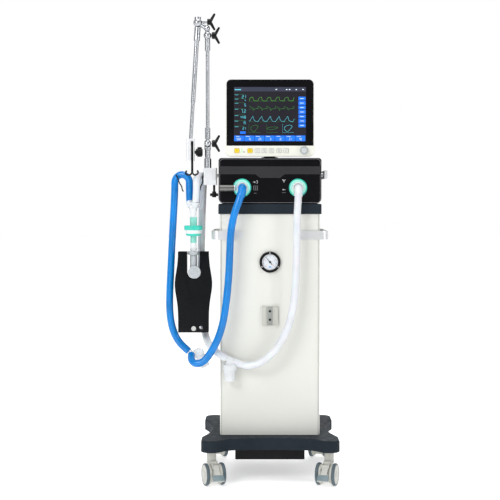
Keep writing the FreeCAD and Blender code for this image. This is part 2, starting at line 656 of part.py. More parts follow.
def arm_end_block():
    """Slotted clamp block with the cross pin that carries the hose hanger."""
    left, right = -286.0, -257.0
    block = box((left, ARM_Y - 11, 1087), (right, ARM_Y + 11, 1162))
    block = round_edges(block, 5.0, lambda e, c: is_along(e, Z_AXIS))
    slot = box((STEM_HANGER_X - 4.6, ARM_Y - 12, 1086), (STEM_HANGER_X + 4.6, ARM_Y + 12, PIVOT_Z + 10.5))
    block = block.cut(slot)
    pin = rod((left + 3, ARM_Y, PIVOT_Z), (right - 1, ARM_Y, PIVOT_Z), 2.5)
    block = fuse([block, pin])
    screw_hole = rod((STEM_HANGER_X, ARM_Y, LOBED_KNOB_Z), (right + 1, ARM_Y, LOBED_KNOB_Z), 3.05)
    foot = Vector(BLOCK_X + 1, ARM_Y, 1160)
    direction = (Vector(HEAD_X, ARM_Y, HEAD_Z) - foot).normalize()
    return block.cut(screw_hole).cut(rod(foot, foot + direction * 10, 6.5))


def lobed_knob():
    """Five-lobed hand knob with its short screw."""
    start, end = -253.0, -230.0
    pieces = [rod((start, ARM_Y, LOBED_KNOB_Z), (end, ARM_Y, LOBED_KNOB_Z), 12.0)]
    for index in range(5):
        angle = math.radians(90 + 72 * index)
        y = ARM_Y + 12 * math.cos(angle)
        z = LOBED_KNOB_Z + 12 * math.sin(angle)
        pieces.append(rod((start + 5, y, z), (end - 3, y, z), 6.0))
    pieces.append(rod((start - 3.5, ARM_Y, LOBED_KNOB_Z), (start + 1, ARM_Y, LOBED_KNOB_Z), 6.0))
    pieces.append(rod((STEM_HANGER_X + 4.9, ARM_Y, LOBED_KNOB_Z), (start, ARM_Y, LOBED_KNOB_Z), 3.0))
    return fuse(pieces)


def t_knob(x, z):
    """Winged knob on the +X side of a joint: hub and two swept-back wings."""
    hub = rod((x, ARM_Y, z), (x + 16, ARM_Y, z), 10.5)
    wings = []
    for side in (-1, 1):
        root = (x + 12, ARM_Y, z + side * 4)
        tip = (x + 24, ARM_Y, z + side * 25)
        wings.append(taper(root, tip, 5.5, 4.0))
        wings.append(ball(tip, 4.0))
    return fuse([hub] + wings)


def hose_hanger():
    """Eye, stem and the two round hooks that the hoses are laid over."""
    x = STEM_HANGER_X
    eye = rod((x - 4, ARM_Y, PIVOT_Z), (x + 4, ARM_Y, PIVOT_Z), 8.5)
    stem = bent_rod([(x, ARM_Y, PIVOT_Z - 4), (x, ARM_Y, HANGER_LOW)], 3.8)
    blue_hook = bent_rod([(x, ARM_Y, HANGER_LOW), (-298, -161, HANGER_LOW), (-298, -108, HANGER_LOW)], 3.8)
    white_hook = bent_rod([(x, ARM_Y, HANGER_LOW), (-234, -130, HANGER_LOW)], 3.8)
    hanger = fuse([eye, stem, blue_hook, white_hook])
    return hanger.cut(rod((x - 5, ARM_Y, PIVOT_Z), (x + 5, ARM_Y, PIVOT_Z), 2.55))


def bend_radius(before, corner, after):
    """Radius of the arc at a route point and the angle that it turns."""
    first = corner - before
    second = after - corner
    turn = first.getAngle(second)
    return BEND_SHARE * min(first.Length, second.Length) / math.tan(turn / 2), turn


def hose(name, route):
    """Tube along straight runs that are joined by tangent arcs."""
    points = [Vector(*point) for point in route]
    edges = []
    start = points[0]
    radii = []
    for before, corner, after in zip(points, points[1:], points[2:]):
        radius, turn = bend_radius(before, corner, after)
        radii.append(round(radius))
        reach = radius * math.tan(turn / 2)
        into = (corner - before).normalize()
        out = (after - corner).normalize()
        arc_start = corner - into * reach
        arc_end = corner + out * reach
        inward = (out - into).normalize()
        middle = corner + inward * (radius / math.cos(turn / 2) - radius)
        edges.append(Part.LineSegment(start, arc_start).toShape())
        edges.append(Part.Arc(arc_start, middle, arc_end).toShape())
        start = arc_end
    edges.append(Part.LineSegment(start, points[-1]).toShape())
    path = Part.Wire(edges)
    length = path.Length
    direction = points[1] - points[0]
    profile = Part.Wire([Part.Circle(points[0], direction, HOSE_RADIUS).toShape()])
    tube = path.makePipeShell([profile], True, True)
    share = tube.Volume / (math.pi * HOSE_RADIUS ** 2 * length)
    print(name, "length", round(length), "volume share", round(share, 4), "radii", radii)
    return tube


def trap_cap_1():
    """Cap of the first trap with a stub for each blue hose."""
    axis = TRAP_1_AXIS
    hub = ball(TRAP_1_HUB, 12.0)
    blue_in = rod(TRAP_1_HUB, Vector(-268, -182, 424), 10.5)
    blue_out = rod(TRAP_1_HUB, Vector(-278.5, -160, 434), 10.5)
    duct = rod(TRAP_1_HUB, TRAP_1_CENTRE, 9.0)
    cap = rod(TRAP_1_CENTRE - axis * 8, TRAP_1_CENTRE + axis * 9, 20.5)
    cap = round_edges(cap, 3.0, lambda e, c: isinstance(e.Curve, Part.Circle))
    dome = taper(TRAP_1_CENTRE - axis * 8, TRAP_1_CENTRE - axis * 16, 17.0, 10.0)
    return fuse([hub, blue_in, blue_out, duct, cap, dome])


def trap_cap_2():
    """Cap of the second trap with a stub for each white hose."""
    tube = rod((-151, -204, 415), (-122, -204, 403.5), 10.5)
    cap = rod(TRAP_2_CENTRE - Z_AXIS * 12, TRAP_2_CENTRE + Z_AXIS * 8, 23.0)
    cap = round_edges(cap, 3.0, lambda e, c: isinstance(e.Curve, Part.Circle))
    neck = taper(TRAP_2_CENTRE + Z_AXIS * 7, TRAP_2_TOP, 16.0, 11.0)
    return fuse([tube, cap, neck])


def trap_cup(top, axis, radius, depth):
    """Hollow tapered cup that twists off its cap."""
    outer = Part.makeCone(radius, radius - 3, depth, top, axis)
    outer = round_edges(outer, 2.5, lambda e, c: (c - top).dot(axis) > depth - 1)
    inner = Part.makeCone(radius - 1.5, radius - 4.5, depth - 1.5, top - axis * 0.01, axis)
    return outer.cut(inner)


def clear_connectors():
    """Y-piece above the filter and the straight connector below it."""
    x, y = LUNG_X, LUNG_Y
    legs = []
    for end in WYE_ENDS:
        legs.append(taper(WYE_CENTRE, end, 10.0, 10.5))
    stem = rod((x, y, 894.5), (x, y, 916), 10.5)
    wye = fuse(legs + [stem, ball(WYE_CENTRE, 12.0)])
    straight = rod((x, y, 778), (x, y, 806), 10.5)
    return Part.Compound([wye, straight])


def hme_filter():
    """Heat and moisture filter: cones above and below a flat round body."""
    x, y = LUNG_X, LUNG_Y
    outline = [(0, 894.5), (12.5, 894.5), (12.5, 872), (18, 862), (32, 858), (32, 846), (30, 844),
               (30, 836), (14, 830), (11, 826), (11, 806), (0, 806)]
    face = Part.Face(Part.makePolygon([Vector(x + r, y, z) for r, z in outline + outline[:1]]))
    return face.revolve(Vector(x, y, 0), Z_AXIS, 360)


def lung_outline():
    """Front outline of the test lung: slight bulge at the sides and a round-ended slot."""
    half = 53.0
    bulge = 65.5
    shoulder = 712.0
    waist = 590.0
    corner = 5.0
    x = LUNG_X
    p = [Vector(x - half, LUNG_Y, LUNG_BOTTOM + corner), Vector(x - half - 3, LUNG_Y, waist),
         Vector(x - bulge, LUNG_Y, (waist + shoulder) / 2 + 20), Vector(x - half - 3, LUNG_Y, shoulder + 20),
         Vector(x - half, LUNG_Y, LUNG_TOP - corner), Vector(x - half + corner, LUNG_Y, LUNG_TOP)]
    q = [Vector(2 * x - v.x, v.y, v.z) for v in p]
    slot = 21.0
    slot_top = Vector(x - slot, LUNG_Y, LUNG_TOP)
    slot_low = Vector(x - slot, LUNG_Y, 702)
    slot_tip = Vector(x, LUNG_Y, 702 - slot)
    slot_low_r = Vector(x + slot, LUNG_Y, 702)
    slot_top_r = Vector(x + slot, LUNG_Y, LUNG_TOP)
    bottom_l = Vector(x - half + corner, LUNG_Y, LUNG_BOTTOM)
    bottom_r = Vector(x + half - corner, LUNG_Y, LUNG_BOTTOM)
    edges = [
        Part.LineSegment(bottom_l, p[0]).toShape(), Part.LineSegment(p[0], p[1]).toShape(),
        Part.Arc(p[1], p[2], p[3]).toShape(), Part.LineSegment(p[3], p[4]).toShape(),
        Part.LineSegment(p[4], p[5]).toShape(), Part.LineSegment(p[5], slot_top).toShape(),
        Part.LineSegment(slot_top, slot_low).toShape(), Part.Arc(slot_low, slot_tip, slot_low_r).toShape(),
        Part.LineSegment(slot_low_r, slot_top_r).toShape(), Part.LineSegment(slot_top_r, q[5]).toShape(),
        Part.LineSegment(q[5], q[4]).toShape(), Part.LineSegment(q[4], q[3]).toShape(),
        Part.Arc(q[3], q[2], q[1]).toShape(), Part.LineSegment(q[1], q[0]).toShape(),
        Part.LineSegment(q[0], bottom_r).toShape(), Part.LineSegment(bottom_r, bottom_l).toShape()]
    return Part.Wire(edges)


def test_lung():
    """Bellows bag between two stiff plates, with the elbow in its slot."""
    half_depth = 22.0
    slab = Part.Face(lung_outline()).extrude(Vector(0, 2 * half_depth, 0))
    slab.translate(Vector(0, -half_depth, 0))
    slab = round_edges(slab, 4.0, lambda e, c: abs(abs(c.y - LUNG_Y) - half_depth) < 0.01)
    hole = rod((LUNG_X + 26, LUNG_Y - 30, 515), (LUNG_X + 26, LUNG_Y + 30, 515), 7.0)
    return slab.cut(hole)


def lung_elbow():
    """Grey elbow that leads from the neck into the bag."""
    x, y = LUNG_X, LUNG_Y
    neck = rod((x, y, 720), (x, y, 777.7), 12.5)
    disc = rod((x, y - 14, 706), (x, y + 14, 706), 19.5)
    return fuse([neck, disc])


def add(name, shape, on_circuit=False):
    nodes[name] = shape
    if on_circuit:
        on_the_circuit.add(name)


def place_caster(shape, x, y, yaw):
    placed = shape.copy()
    placed.rotate(Vector(0, 0, 0), Z_AXIS, yaw)
    placed.translate(Vector(x, y, 0))
    return placed


def build_trolley():
    add("base_casting", base_casting())
    tray = upright_block(-119, 119, -190, 150, BASE_BOTTOM - TRAY_DEPTH, BASE_BOTTOM, 6.0)
    add("under_tray", tray)
    fork, wheels, pedal = caster_fork(), caster_wheels(), brake_pedal()
    for name, x, y, yaw in caster_positions():
        add("caster_fork_" + name, place_caster(fork, x, y, yaw))
        add("caster_wheels_" + name, place_caster(wheels, x, y, yaw))
        if name.startswith("front"):
            add("brake_pedal_" + name, place_caster(pedal, x, y, yaw))


def build_cabinet():
    add("cabinet_shell", cabinet_shell())
    add("cabinet_back_panel", cabinet_back_panel())
    add("compressor", compressor())
    add("top_shelf", top_shelf())
    add("side_handles", side_handles())
    add("gauge_housing", gauge_housing())
    add("gauge_needle", gauge_needle())
    add("accessory_bracket", accessory_bracket())


def build_module():
    add("module_shell", module_shell())
    add("module_front", module_front())
    add("port_filters", port_filters())
    add("port_elbows", port_elbows())
    add("side_rails", side_rails())
    add("blower", blower())


def build_monitor():
    add("monitor_neck", monitor_neck())
    add("monitor_rear_shell", monitor_rear_shell())
    add("monitor_bezel", monitor_bezel())
    add("monitor_band", monitor_band())
    add("screen_panel", screen_panel())
    add("rotary_knob", rotary_knob())
    for name, x in KEY_X.items():
        add(name, key(x))


def build_arm():
    add("rail_clamp", rail_clamp())
    add("clamp_screw", clamp_screw())
    add("arm_post", arm_post())
    add("arm_lower_rod", arm_lower_rod())
    add("arm_upper_rod", Part.Compound([arm_head_link(), arm_upper_rod()]))
    add("arm_end_block", arm_end_block())
    add("lobed_knob", lobed_knob())
    add("hose_hanger", hose_hanger())
    for name, (x, z) in T_KNOBS.items():
        add(name, t_knob(x, z))


def build_circuit():
    caps = Part.Compound([trap_cap_1(), trap_cap_2()])
    fittings = [caps, clear_connectors(), port_elbows()]
    routes = {"hose_blue_supply": BLUE_SUPPLY, "hose_blue_return": BLUE_RETURN,
              "hose_white_supply": WHITE_SUPPLY, "hose_white_return": WHITE_RETURN}
    for name, route in routes.items():
        add(name, without(hose(name, route), fittings), True)
    add("water_trap_caps", caps, True)
    add("trap_cup_blue", trap_cup(TRAP_1_CENTRE + TRAP_1_AXIS * 9.3, TRAP_1_AXIS, 18.0, 44.0), True)
    add("trap_cup_white", trap_cup(TRAP_2_CENTRE - Z_AXIS * 12.3, -Z_AXIS, 20.0, 38.0), True)
    add("clear_connectors", clear_connectors(), True)
    add("hme_filter", hme_filter(), True)
    add("test_lung", Part.Compound([test_lung(), lung_elbow()]), True)


def own_box():
    """Box of every node that isn't on the patient circuit."""
    whole = FreeCAD.BoundBox()
    for name, shape in nodes.items():
        if name not in on_the_circuit:
            whole.add(shape.optimalBoundingBox(False))
    return whole


build_trolley()
build_cabinet()
build_module()
build_monitor()
build_arm()
build_circuit()

footprint = own_box()
shift = Vector(-footprint.Center.x, -footprint.Center.y, -footprint.ZMin)
print("cabinet centre line is at", -footprint.Center.x, -footprint.Center.y, -footprint.ZMin)
print("own size", footprint.XLength, footprint.YLength, footprint.ZLength)
for name, shape in nodes.items():
    moved = shape.copy()
    moved.translate(shift)
    solids = moved.Solids
    broken = [solid for solid in solids if not solid.isValid()]
    if broken or not solids:
        print("PROBLEM", name, len(solids), "solids,", len(broken), "broken")
    moved.exportStep("parts/" + name + ".step")
print(len(nodes), "nodes")
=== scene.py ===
"""Looks of the mobile ventilator: hoses, casters, screen, gauge, trim and materials
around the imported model. Metres, +Z up, the front faces -Y."""
import math

import bmesh
import bpy
from mathutils import Matrix, Vector


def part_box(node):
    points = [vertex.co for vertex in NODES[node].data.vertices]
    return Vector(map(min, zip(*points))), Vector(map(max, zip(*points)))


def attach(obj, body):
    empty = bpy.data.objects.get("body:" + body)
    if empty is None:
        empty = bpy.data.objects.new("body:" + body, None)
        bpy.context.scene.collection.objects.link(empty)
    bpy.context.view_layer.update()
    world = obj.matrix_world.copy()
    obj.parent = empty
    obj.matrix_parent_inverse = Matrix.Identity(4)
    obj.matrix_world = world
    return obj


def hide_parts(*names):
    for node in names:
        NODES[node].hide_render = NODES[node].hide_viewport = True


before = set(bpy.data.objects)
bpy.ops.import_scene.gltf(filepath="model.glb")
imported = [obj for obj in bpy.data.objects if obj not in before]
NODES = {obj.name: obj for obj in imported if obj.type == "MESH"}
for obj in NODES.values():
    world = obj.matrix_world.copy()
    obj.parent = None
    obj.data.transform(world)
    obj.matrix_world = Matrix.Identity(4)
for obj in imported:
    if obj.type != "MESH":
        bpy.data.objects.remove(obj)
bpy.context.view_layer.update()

# Places are in metres from the cabinet's centre line and from its middle depth, unless a name says
# otherwise; heights are above the floor.
shell_low, shell_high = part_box("cabinet_shell")
CENTRE_X = (shell_low.x + shell_high.x) / 2
CABINET_HALF_DEPTH = 0.175
CENTRE_Y = shell_low.y + CABINET_HALF_DEPTH
FRONT = -CABINET_HALF_DEPTH
HOSE_RADIUS = 0.0125
CASTER_YAW = math.radians(18)
WHEEL_RADIUS = 0.0375
AXLE_Y = -0.028
PADDLE_KNEE = (-0.076, 0.039)
PADDLE_TIP = (-0.093, 0.024)
# Each caster, and which way its yaw turns it.
CORNERS = {"front_left": 1, "front_right": -1, "rear_left": 1, "rear_right": -1}
MONITOR_Y = -0.167
MONITOR_BACK = -0.108
SCREEN_Y = -0.1655
SCREEN_LEFT, SCREEN_RIGHT = -0.123, 0.123
SCREEN_LOW, SCREEN_HIGH = 1.152, 1.338
FILTER_X, FILTER_Y = -0.262, -0.15
HANGER_X, HANGER_Y = -0.266, -0.15
LUNG_LOW, LUNG_HIGH = 0.498, 0.778
LUNG_SLOT_HALF, LUNG_SLOT_LOW = 0.0205, 0.703
FORWARD = (0, -1, 0)
SHARP_ANGLE = math.radians(35)


def at(x, y, z):
    """A place given from the cabinet's centre line, in the row frame."""
    return Vector((CENTRE_X + x, CENTRE_Y + y, z))


def add_object(name, data):
    """A new object in the scene from its data."""
    added = bpy.data.objects.new(name, data)
    bpy.context.scene.collection.objects.link(added)
    return added


# ---- camera
def make_camera():
    """Camera at the photograph's angle, a little left of the middle and looking slightly down."""
    distance = 4.7
    height = 0.953
    side = -0.075
    downward = 2.08
    data = bpy.data.cameras.new("camera")
    data.lens = 99.2
    data.sensor_width = 36.0
    data.shift_x = 0.004
    data.dof.use_dof = False
    camera = add_object("camera", data)
    camera.location = at(side, FRONT - distance, height)
    camera.rotation_euler = (math.radians(90 - downward), 0, 0)
    bpy.context.scene.camera = camera


# ---- materials
def new_material(name):
    """A fresh material with its node lists and its shader."""
    material = bpy.data.materials.new(name)
    material.use_nodes = True
    nodes = material.node_tree.nodes
    return material, nodes, material.node_tree.links, nodes["Principled BSDF"]


def noise(nodes, links, scale, detail=3.0, stretch=None):
    """Noise over the object's own coordinates, stretched along an axis if asked."""
    place = nodes.new("ShaderNodeTexCoord")
    source = place.outputs["Object"]
    if stretch:
        mapping = nodes.new("ShaderNodeMapping")
        mapping.inputs["Scale"].default_value = stretch
        links.new(source, mapping.inputs["Vector"])
        source = mapping.outputs["Vector"]
    texture = nodes.new("ShaderNodeTexNoise")
    texture.inputs["Scale"].default_value = scale
    texture.inputs["Detail"].default_value = detail
    links.new(source, texture.inputs["Vector"])
    return texture.outputs["Fac"]


def ramp(nodes, links, value, low, high, start=0.35, end=0.65):
    """Colour that runs from one shade to another as the value rises."""
    colours = nodes.new("ShaderNodeValToRGB")
    colours.color_ramp.elements[0].position = start
    colours.color_ramp.elements[0].color = (*low, 1)
    colours.color_ramp.elements[1].position = end
    colours.color_ramp.elements[1].color = (*high, 1)
    links.new(value, colours.inputs["Fac"])
    return colours.outputs["Color"]


def spread(nodes, links, value, low, high):
    """Stretches the middle of a noise value to run between two numbers."""
    scaled = nodes.new("ShaderNodeMapRange")
    scaled.inputs["From Min"].default_value = 0.3
    scaled.inputs["From Max"].default_value = 0.7
    scaled.inputs["To Min"].default_value = low
    scaled.inputs["To Max"].default_value = high
    links.new(value, scaled.inputs["Value"])
    return scaled.outputs["Result"]


def bump(nodes, links, value, shader, strength, distance):
    """Fine relief in the shader's normal."""
    relief = nodes.new("ShaderNodeBump")
    relief.inputs["Strength"].default_value = strength
    relief.inputs["Distance"].default_value = distance
    links.new(value, relief.inputs["Height"])
    links.new(relief.outputs["Normal"], shader.inputs["Normal"])


def surface(name, colour, roughness, metallic=0.0, shade=0.06, blotch=6.0, grain=600.0, relief=0.05,
            depth=0.0003, coat=0.0, stretch=None, transmission=0.0, subsurface=0.0, emission=0.0, ior=1.45,
            shine=0.5):
    """Procedural finish: slow colour variation, uneven gloss and fine grain in the surface."""
    material, nodes, links, shader = new_material(name)
    slow = noise(nodes, links, blotch, 4.0)
    dark = tuple(max(0.0, c * (1 - shade)) for c in colour)
    light = tuple(min(1.0, c * (1 + shade)) for c in colour)
    links.new(ramp(nodes, links, slow, dark, light), shader.inputs["Base Color"])
    medium = noise(nodes, links, blotch * 9, 3.0, stretch)
    links.new(spread(nodes, links, medium, roughness * 0.85, min(1.0, roughness * 1.2)),
              shader.inputs["Roughness"])
    fine = noise(nodes, links, grain, 2.0, stretch)
    bump(nodes, links, fine, shader, relief, depth)
    shader.inputs["Metallic"].default_value = metallic
    shader.inputs["Coat Weight"].default_value = coat
    shader.inputs["Coat Roughness"].default_value = 0.08
    shader.inputs["Transmission Weight"].default_value = transmission
    shader.inputs["Subsurface Weight"].default_value = subsurface
    shader.inputs["Subsurface Scale"].default_value = 0.004
    shader.inputs["IOR"].default_value = ior
    shader.inputs["Specular IOR Level"].default_value = shine
    if emission:
        shader.inputs["Emission Color"].default_value = (*colour, 1)
        shader.inputs["Emission Strength"].default_value = emission
    return material


# Finishes by the key that pieces ask for, filled in by make_materials.
MATERIALS = {}


def make_materials():
    """Finish of every surface: colour, gloss and grain."""
    def add(key, *values, **details):
        """One finish under its key."""
        MATERIALS[key] = surface(*values, **details)

    add("base_paint", "slate_paint", (0.013, 0.019, 0.026), 0.62, shade=0.12, grain=900, relief=0.12,
        shine=0.14)
    add("cabinet_paint", "ivory_powder_coat", (0.68, 0.68, 0.63), 0.38, shade=0.02, blotch=3, grain=1100,
        relief=0.1, depth=0.0002)
    # Grey line: partly the panel seam, partly painted shade along the rounded front edges.
    add("seam", "panel_seam", (0.3, 0.3, 0.28), 0.5, shade=0.1, blotch=30)
    add("black_plastic", "black_moulding", (0.005, 0.005, 0.006), 0.45, shade=0.2, grain=900, relief=0.15,
        shine=0.2)
    add("black_shine", "black_knob_plastic", (0.004, 0.004, 0.005), 0.28, shade=0.2, grain=700,
        relief=0.05, shine=0.22)
    add("inner_metal", "receiver_paint", (0.25, 0.27, 0.3), 0.45, shade=0.1)
    add("brushed_metal", "brushed_stainless", (0.72, 0.73, 0.73), 0.34, metallic=0.85, shade=0.04,
        blotch=9, grain=260, relief=0.1, depth=0.0002, stretch=(1, 1, 18))
    add("bracket_metal", "blasted_aluminium", (0.52, 0.52, 0.47), 0.42, metallic=0.45, shade=0.04,
        blotch=12, grain=900, relief=0.12)
    # Painted shade: the darker tone stands for the shade in the bracket's recessed channel.
    add("bracket_channel_shade", "channel_aluminium", (0.3, 0.31, 0.29), 0.45, metallic=0.35, shade=0.05,
        blotch=12, grain=900, relief=0.12)
    add("cast_metal", "tumbled_casting", (0.74, 0.75, 0.76), 0.34, metallic=0.55, shade=0.05, blotch=14,
        grain=380, relief=0.015)
    add("chrome", "chrome_plate", (0.44, 0.45, 0.47), 0.2, metallic=1.0, shade=0.05, blotch=20,
        grain=300, relief=0.003, stretch=(1, 1, 0.1))
    add("dark_steel", "bead_blasted_steel", (0.17, 0.17, 0.16), 0.3, metallic=0.9, shade=0.08, blotch=30,
        grain=500, relief=0.04)
    add("module_black", "black_enamel", (0.004, 0.004, 0.005), 0.3, shade=0.2, grain=900, relief=0.05,
        shine=0.2)
    add("module_gloss", "piano_black", (0.003, 0.003, 0.004), 0.16, shade=0.2, grain=200, relief=0.01,
        shine=0.16)
    add("strip", "smoked_label", (0.026, 0.026, 0.028), 0.34, shade=0.03, grain=800, relief=0.04,
        shine=0.2)
    add("teal", "teal_moulding", (0.05, 0.56, 0.44), 0.24, shade=0.07, blotch=40, grain=500, relief=0.04,
        subsurface=0.25)
    add("teal_clear", "teal_clear_moulding", (0.34, 0.8, 0.7), 0.12, shade=0.06, blotch=40, grain=400,
        relief=0.03, transmission=0.6, ior=1.3)
    add("mint", "mint_moulding", (0.42, 0.82, 0.72), 0.3, shade=0.05, blotch=40, grain=500, relief=0.04,
        subsurface=0.25)
    add("white_plastic", "white_moulding", (0.76, 0.78, 0.78), 0.28, shade=0.03, blotch=30, grain=600,
        relief=0.05, subsurface=0.15)
    add("ivory_plastic", "ivory_moulding", (0.72, 0.72, 0.645), 0.4, shade=0.02, blotch=12, grain=1400,
        relief=0.12, depth=0.0002)
    add("screen_black", "screen_backing", (0.018, 0.02, 0.028), 0.22, shade=0.15, grain=400, relief=0.01,
        shine=0.3)
    add("key_yellow", "yellow_key", (0.82, 0.58, 0.02), 0.38, shade=0.04, blotch=60, grain=1200,
        relief=0.08)
    add("key_white", "ivory_key", (0.66, 0.66, 0.61), 0.4, shade=0.03, blotch=60, grain=1200,
        relief=0.08)
    add("knob_grey", "grey_knob", (0.34, 0.38, 0.4), 0.32, shade=0.06, blotch=60, grain=1200,
        relief=0.08)
    add("hose_blue", "blue_hose", (0.0, 0.185, 0.55), 0.22, shade=0.14, blotch=12, grain=200, relief=0.04,
        coat=0.3, subsurface=0.1, shine=0.35)
    add("hose_white", "white_hose", (0.66, 0.68, 0.71), 0.2, shade=0.05, blotch=16, grain=260,
        relief=0.05, coat=0.4, subsurface=0.2)
    add("clear", "clear_polymer", (0.93, 0.95, 0.96), 0.14, shade=0.03, blotch=40, grain=300, relief=0.02,
        transmission=0.45, ior=1.25, shine=0.7)
    add("dial", "dial_enamel", (0.7, 0.74, 0.78), 0.35, shade=0.03, blotch=50, grain=900, relief=0.03)
    add("red_ink", "red_ink", (0.62, 0.04, 0.03), 0.5, shade=0.05, blotch=200)
    add("black_ink", "black_ink", (0.01, 0.01, 0.01), 0.5, shade=0.1, blotch=200, shine=0.2)
    add("grey_ink", "grey_ink", (0.2, 0.2, 0.21), 0.5, shade=0.05, blotch=200)
    add("white_ink", "white_ink", (0.75, 0.76, 0.76), 0.5, shade=0.04, blotch=200)
    add("blue_ink", "blue_ink", (0.03, 0.22, 0.6), 0.5, shade=0.05, blotch=200)
    add("tyre", "polyurethane_tyre", (0.075, 0.105, 0.122), 0.45, shade=0.15, blotch=40, grain=500,
        relief=0.12)
    add("caster_grey", "caster_moulding", (0.52, 0.52, 0.47), 0.34, shade=0.05, blotch=30, grain=900,
        relief=0.1)
    add("caster_light", "caster_disc", (0.46, 0.46, 0.42), 0.32, shade=0.05, blotch=30, grain=900,
        relief=0.1)
    add("pedal", "pedal_moulding", (0.17, 0.23, 0.25), 0.38, shade=0.06, blotch=40, grain=800,
        relief=0.12)
    add("lung", "silicone_bag", (0.004, 0.005, 0.006), 0.4, shade=0.25, blotch=14, grain=420,
        relief=0.1, shine=0.35)
    add("lung_plate", "bag_plate", (0.003, 0.004, 0.005), 0.22, shade=0.2, blotch=14, grain=700,
        relief=0.03, shine=0.16)
    add("grey_plastic", "grey_moulding", (0.52, 0.56, 0.58), 0.26, shade=0.06, blotch=40, grain=600,
        relief=0.06, transmission=0.2, ior=1.3)
    add("screw", "zinc_screw", (0.66, 0.66, 0.64), 0.3, metallic=1.0, shade=0.08, blotch=80, grain=900,
        relief=0.1)
    add("cyan_light", "cyan_pixels", (0.09, 0.5, 0.6), 0.4, shade=0.03, emission=0.55, shine=0.2)
    add("green_light", "green_pixels", (0.1, 0.38, 0.04), 0.4, shade=0.03, emission=0.35, shine=0.2)
    add("dim_green_light", "dim_green_pixels", (0.04, 0.2, 0.04), 0.4, shade=0.05, emission=0.3,
        shine=0.2)
    add("blue_light", "blue_pixels", (0.01, 0.12, 0.62), 0.4, shade=0.1, blotch=25, emission=0.5,
        shine=0.2)
    add("bar_light", "bar_pixels", (0.03, 0.034, 0.055), 0.4, shade=0.08, emission=0.3, shine=0.2)
    add("white_light", "white_pixels", (0.62, 0.7, 0.76), 0.4, shade=0.03, emission=0.6, shine=0.2)
    add("screen_light", "screen_pixels", (0.016, 0.015, 0.02), 0.22, shade=0.1, blotch=5, grain=500,
        relief=0.01, emission=0.1, shine=0.16)
    add("led_green", "green_lamp", (0.08, 0.6, 0.12), 0.3, shade=0.03, emission=0.9)
    add("floor", "floor_paint", (0.9, 0.9, 0.9), 0.6, shade=0.01, blotch=2, grain=60, relief=0.02,
        emission=0.52)


# ---- mesh helpers
def finish_piece(piece, material, body):
    """Gives a new piece its material, smooth shading and the body that it rides."""
    piece.data.materials.clear()
    piece.data.materials.append(MATERIALS[material])
    if piece.type == "MESH":
        piece.data.shade_smooth()
        piece.data.set_sharp_from_angle(angle=SHARP_ANGLE)
    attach(piece, body)
    return piece


def mesh_object(name, shape):
    """An object whose mesh is a finished bmesh."""
    data = bpy.data.meshes.new(name)
    shape.to_mesh(data)
    shape.free()
    return add_object(name, data)


def piece_from(name, shape, material, body):
    """A piece from a finished bmesh, with its faces turned outward."""
    bmesh.ops.recalc_face_normals(shape, faces=shape.faces)
    return finish_piece(mesh_object(name, shape), material, body)


def facing(direction):
    """Turn that takes +Z to the direction given."""
    return Vector((0, 0, 1)).rotation_difference(Vector(direction)).to_matrix().to_4x4()


def add_lathe(shape, profile, centre, direction, segments=64, closed=True):
    """Turned form: (radius, height) pairs swept round an axis, closed at both ends if asked."""
    turn = Matrix.Translation(centre) @ facing(direction)
    rings = []
    for radius, height in profile:
        if radius < 1e-7:
            rings.append([shape.verts.new(turn @ Vector((0, 0, height)))])
            continue
        ring = []
        for step in range(segments):
            angle = 2 * math.pi * step / segments
            place = Vector((radius * math.cos(angle), radius * math.sin(angle), height))
            ring.append(shape.verts.new(turn @ place))
        rings.append(ring)
    for lower, upper in zip(rings, rings[1:]):
        for step in range(segments):
            after = (step + 1) % segments
            if len(lower) == 1 and len(upper) == 1:
                continue
            if len(lower) == 1:
                shape.faces.new((lower[0], upper[after], upper[step]))
            elif len(upper) == 1:
                shape.faces.new((lower[step], lower[after], upper[0]))
            else:
                shape.faces.new((lower[step], lower[after], upper[after], upper[step]))
    for ring in (rings[0], rings[-1]):
        if closed and len(ring) > 1:
            shape.faces.new(ring)


def lathe(name, profile, centre, direction, material, body, segments=64, closed=True):
    """A turned piece."""
    shape = bmesh.new()
    add_lathe(shape, profile, centre, direction, segments, closed)
    return piece_from(name, shape, material, body)


def add_slab(shape, outline, y_front, y_back):
    """Prism between two depths from an outline of (x, z) points in the row frame."""
    front = [shape.verts.new((x, y_front, z)) for x, z in outline]
    back = [shape.verts.new((x, y_back, z)) for x, z in outline]
    shape.faces.new(front)
    shape.faces.new(list(reversed(back)))
    count = len(outline)
    for index in range(count):
        after = (index + 1) % count
        shape.faces.new((front[after], front[index], back[index], back[after]))


def add_skin(shape, rings):
    """Closed skin over rings of vertices that follow each other."""
    for lower, upper in zip(rings, rings[1:]):
        for index in range(len(lower)):
            after = (index + 1) % len(lower)
            shape.faces.new((lower[index], lower[after], upper[after], upper[index]))
    shape.faces.new(rings[0])
    shape.faces.new(list(reversed(rings[-1])))


def rounded_outline(x0, x1, z0, z1, radius, steps=6):
    """Rectangle with round corners, as (x, z) points."""
    radius = min(radius, (x1 - x0) / 2 - 1e-5, (z1 - z0) / 2 - 1e-5)
    points = []
    corners = ((x1 - radius, z1 - radius, 0), (x0 + radius, z1 - radius, 90),
               (x0 + radius, z0 + radius, 180), (x1 - radius, z0 + radius, 270))
    for cx, cz, start in corners:
        for step in range(steps + 1):
            angle = math.radians(start + 90 * step / steps)
            points.append((cx + radius * math.cos(angle), cz + radius * math.sin(angle)))
    return points


def rounded_plate(name, half_width, z, half_height, radius, y0, y1, material, body, steps=4):
    """Thin upright plate with round corners on the centre line, between two depths."""
    shape = bmesh.new()
    outline = rounded_outline(CENTRE_X - half_width, CENTRE_X + half_width, z - half_height,
                              z + half_height, radius, steps)
    add_slab(shape, outline, CENTRE_Y + y0, CENTRE_Y + y1)
    return piece_from(name, shape, material, body)


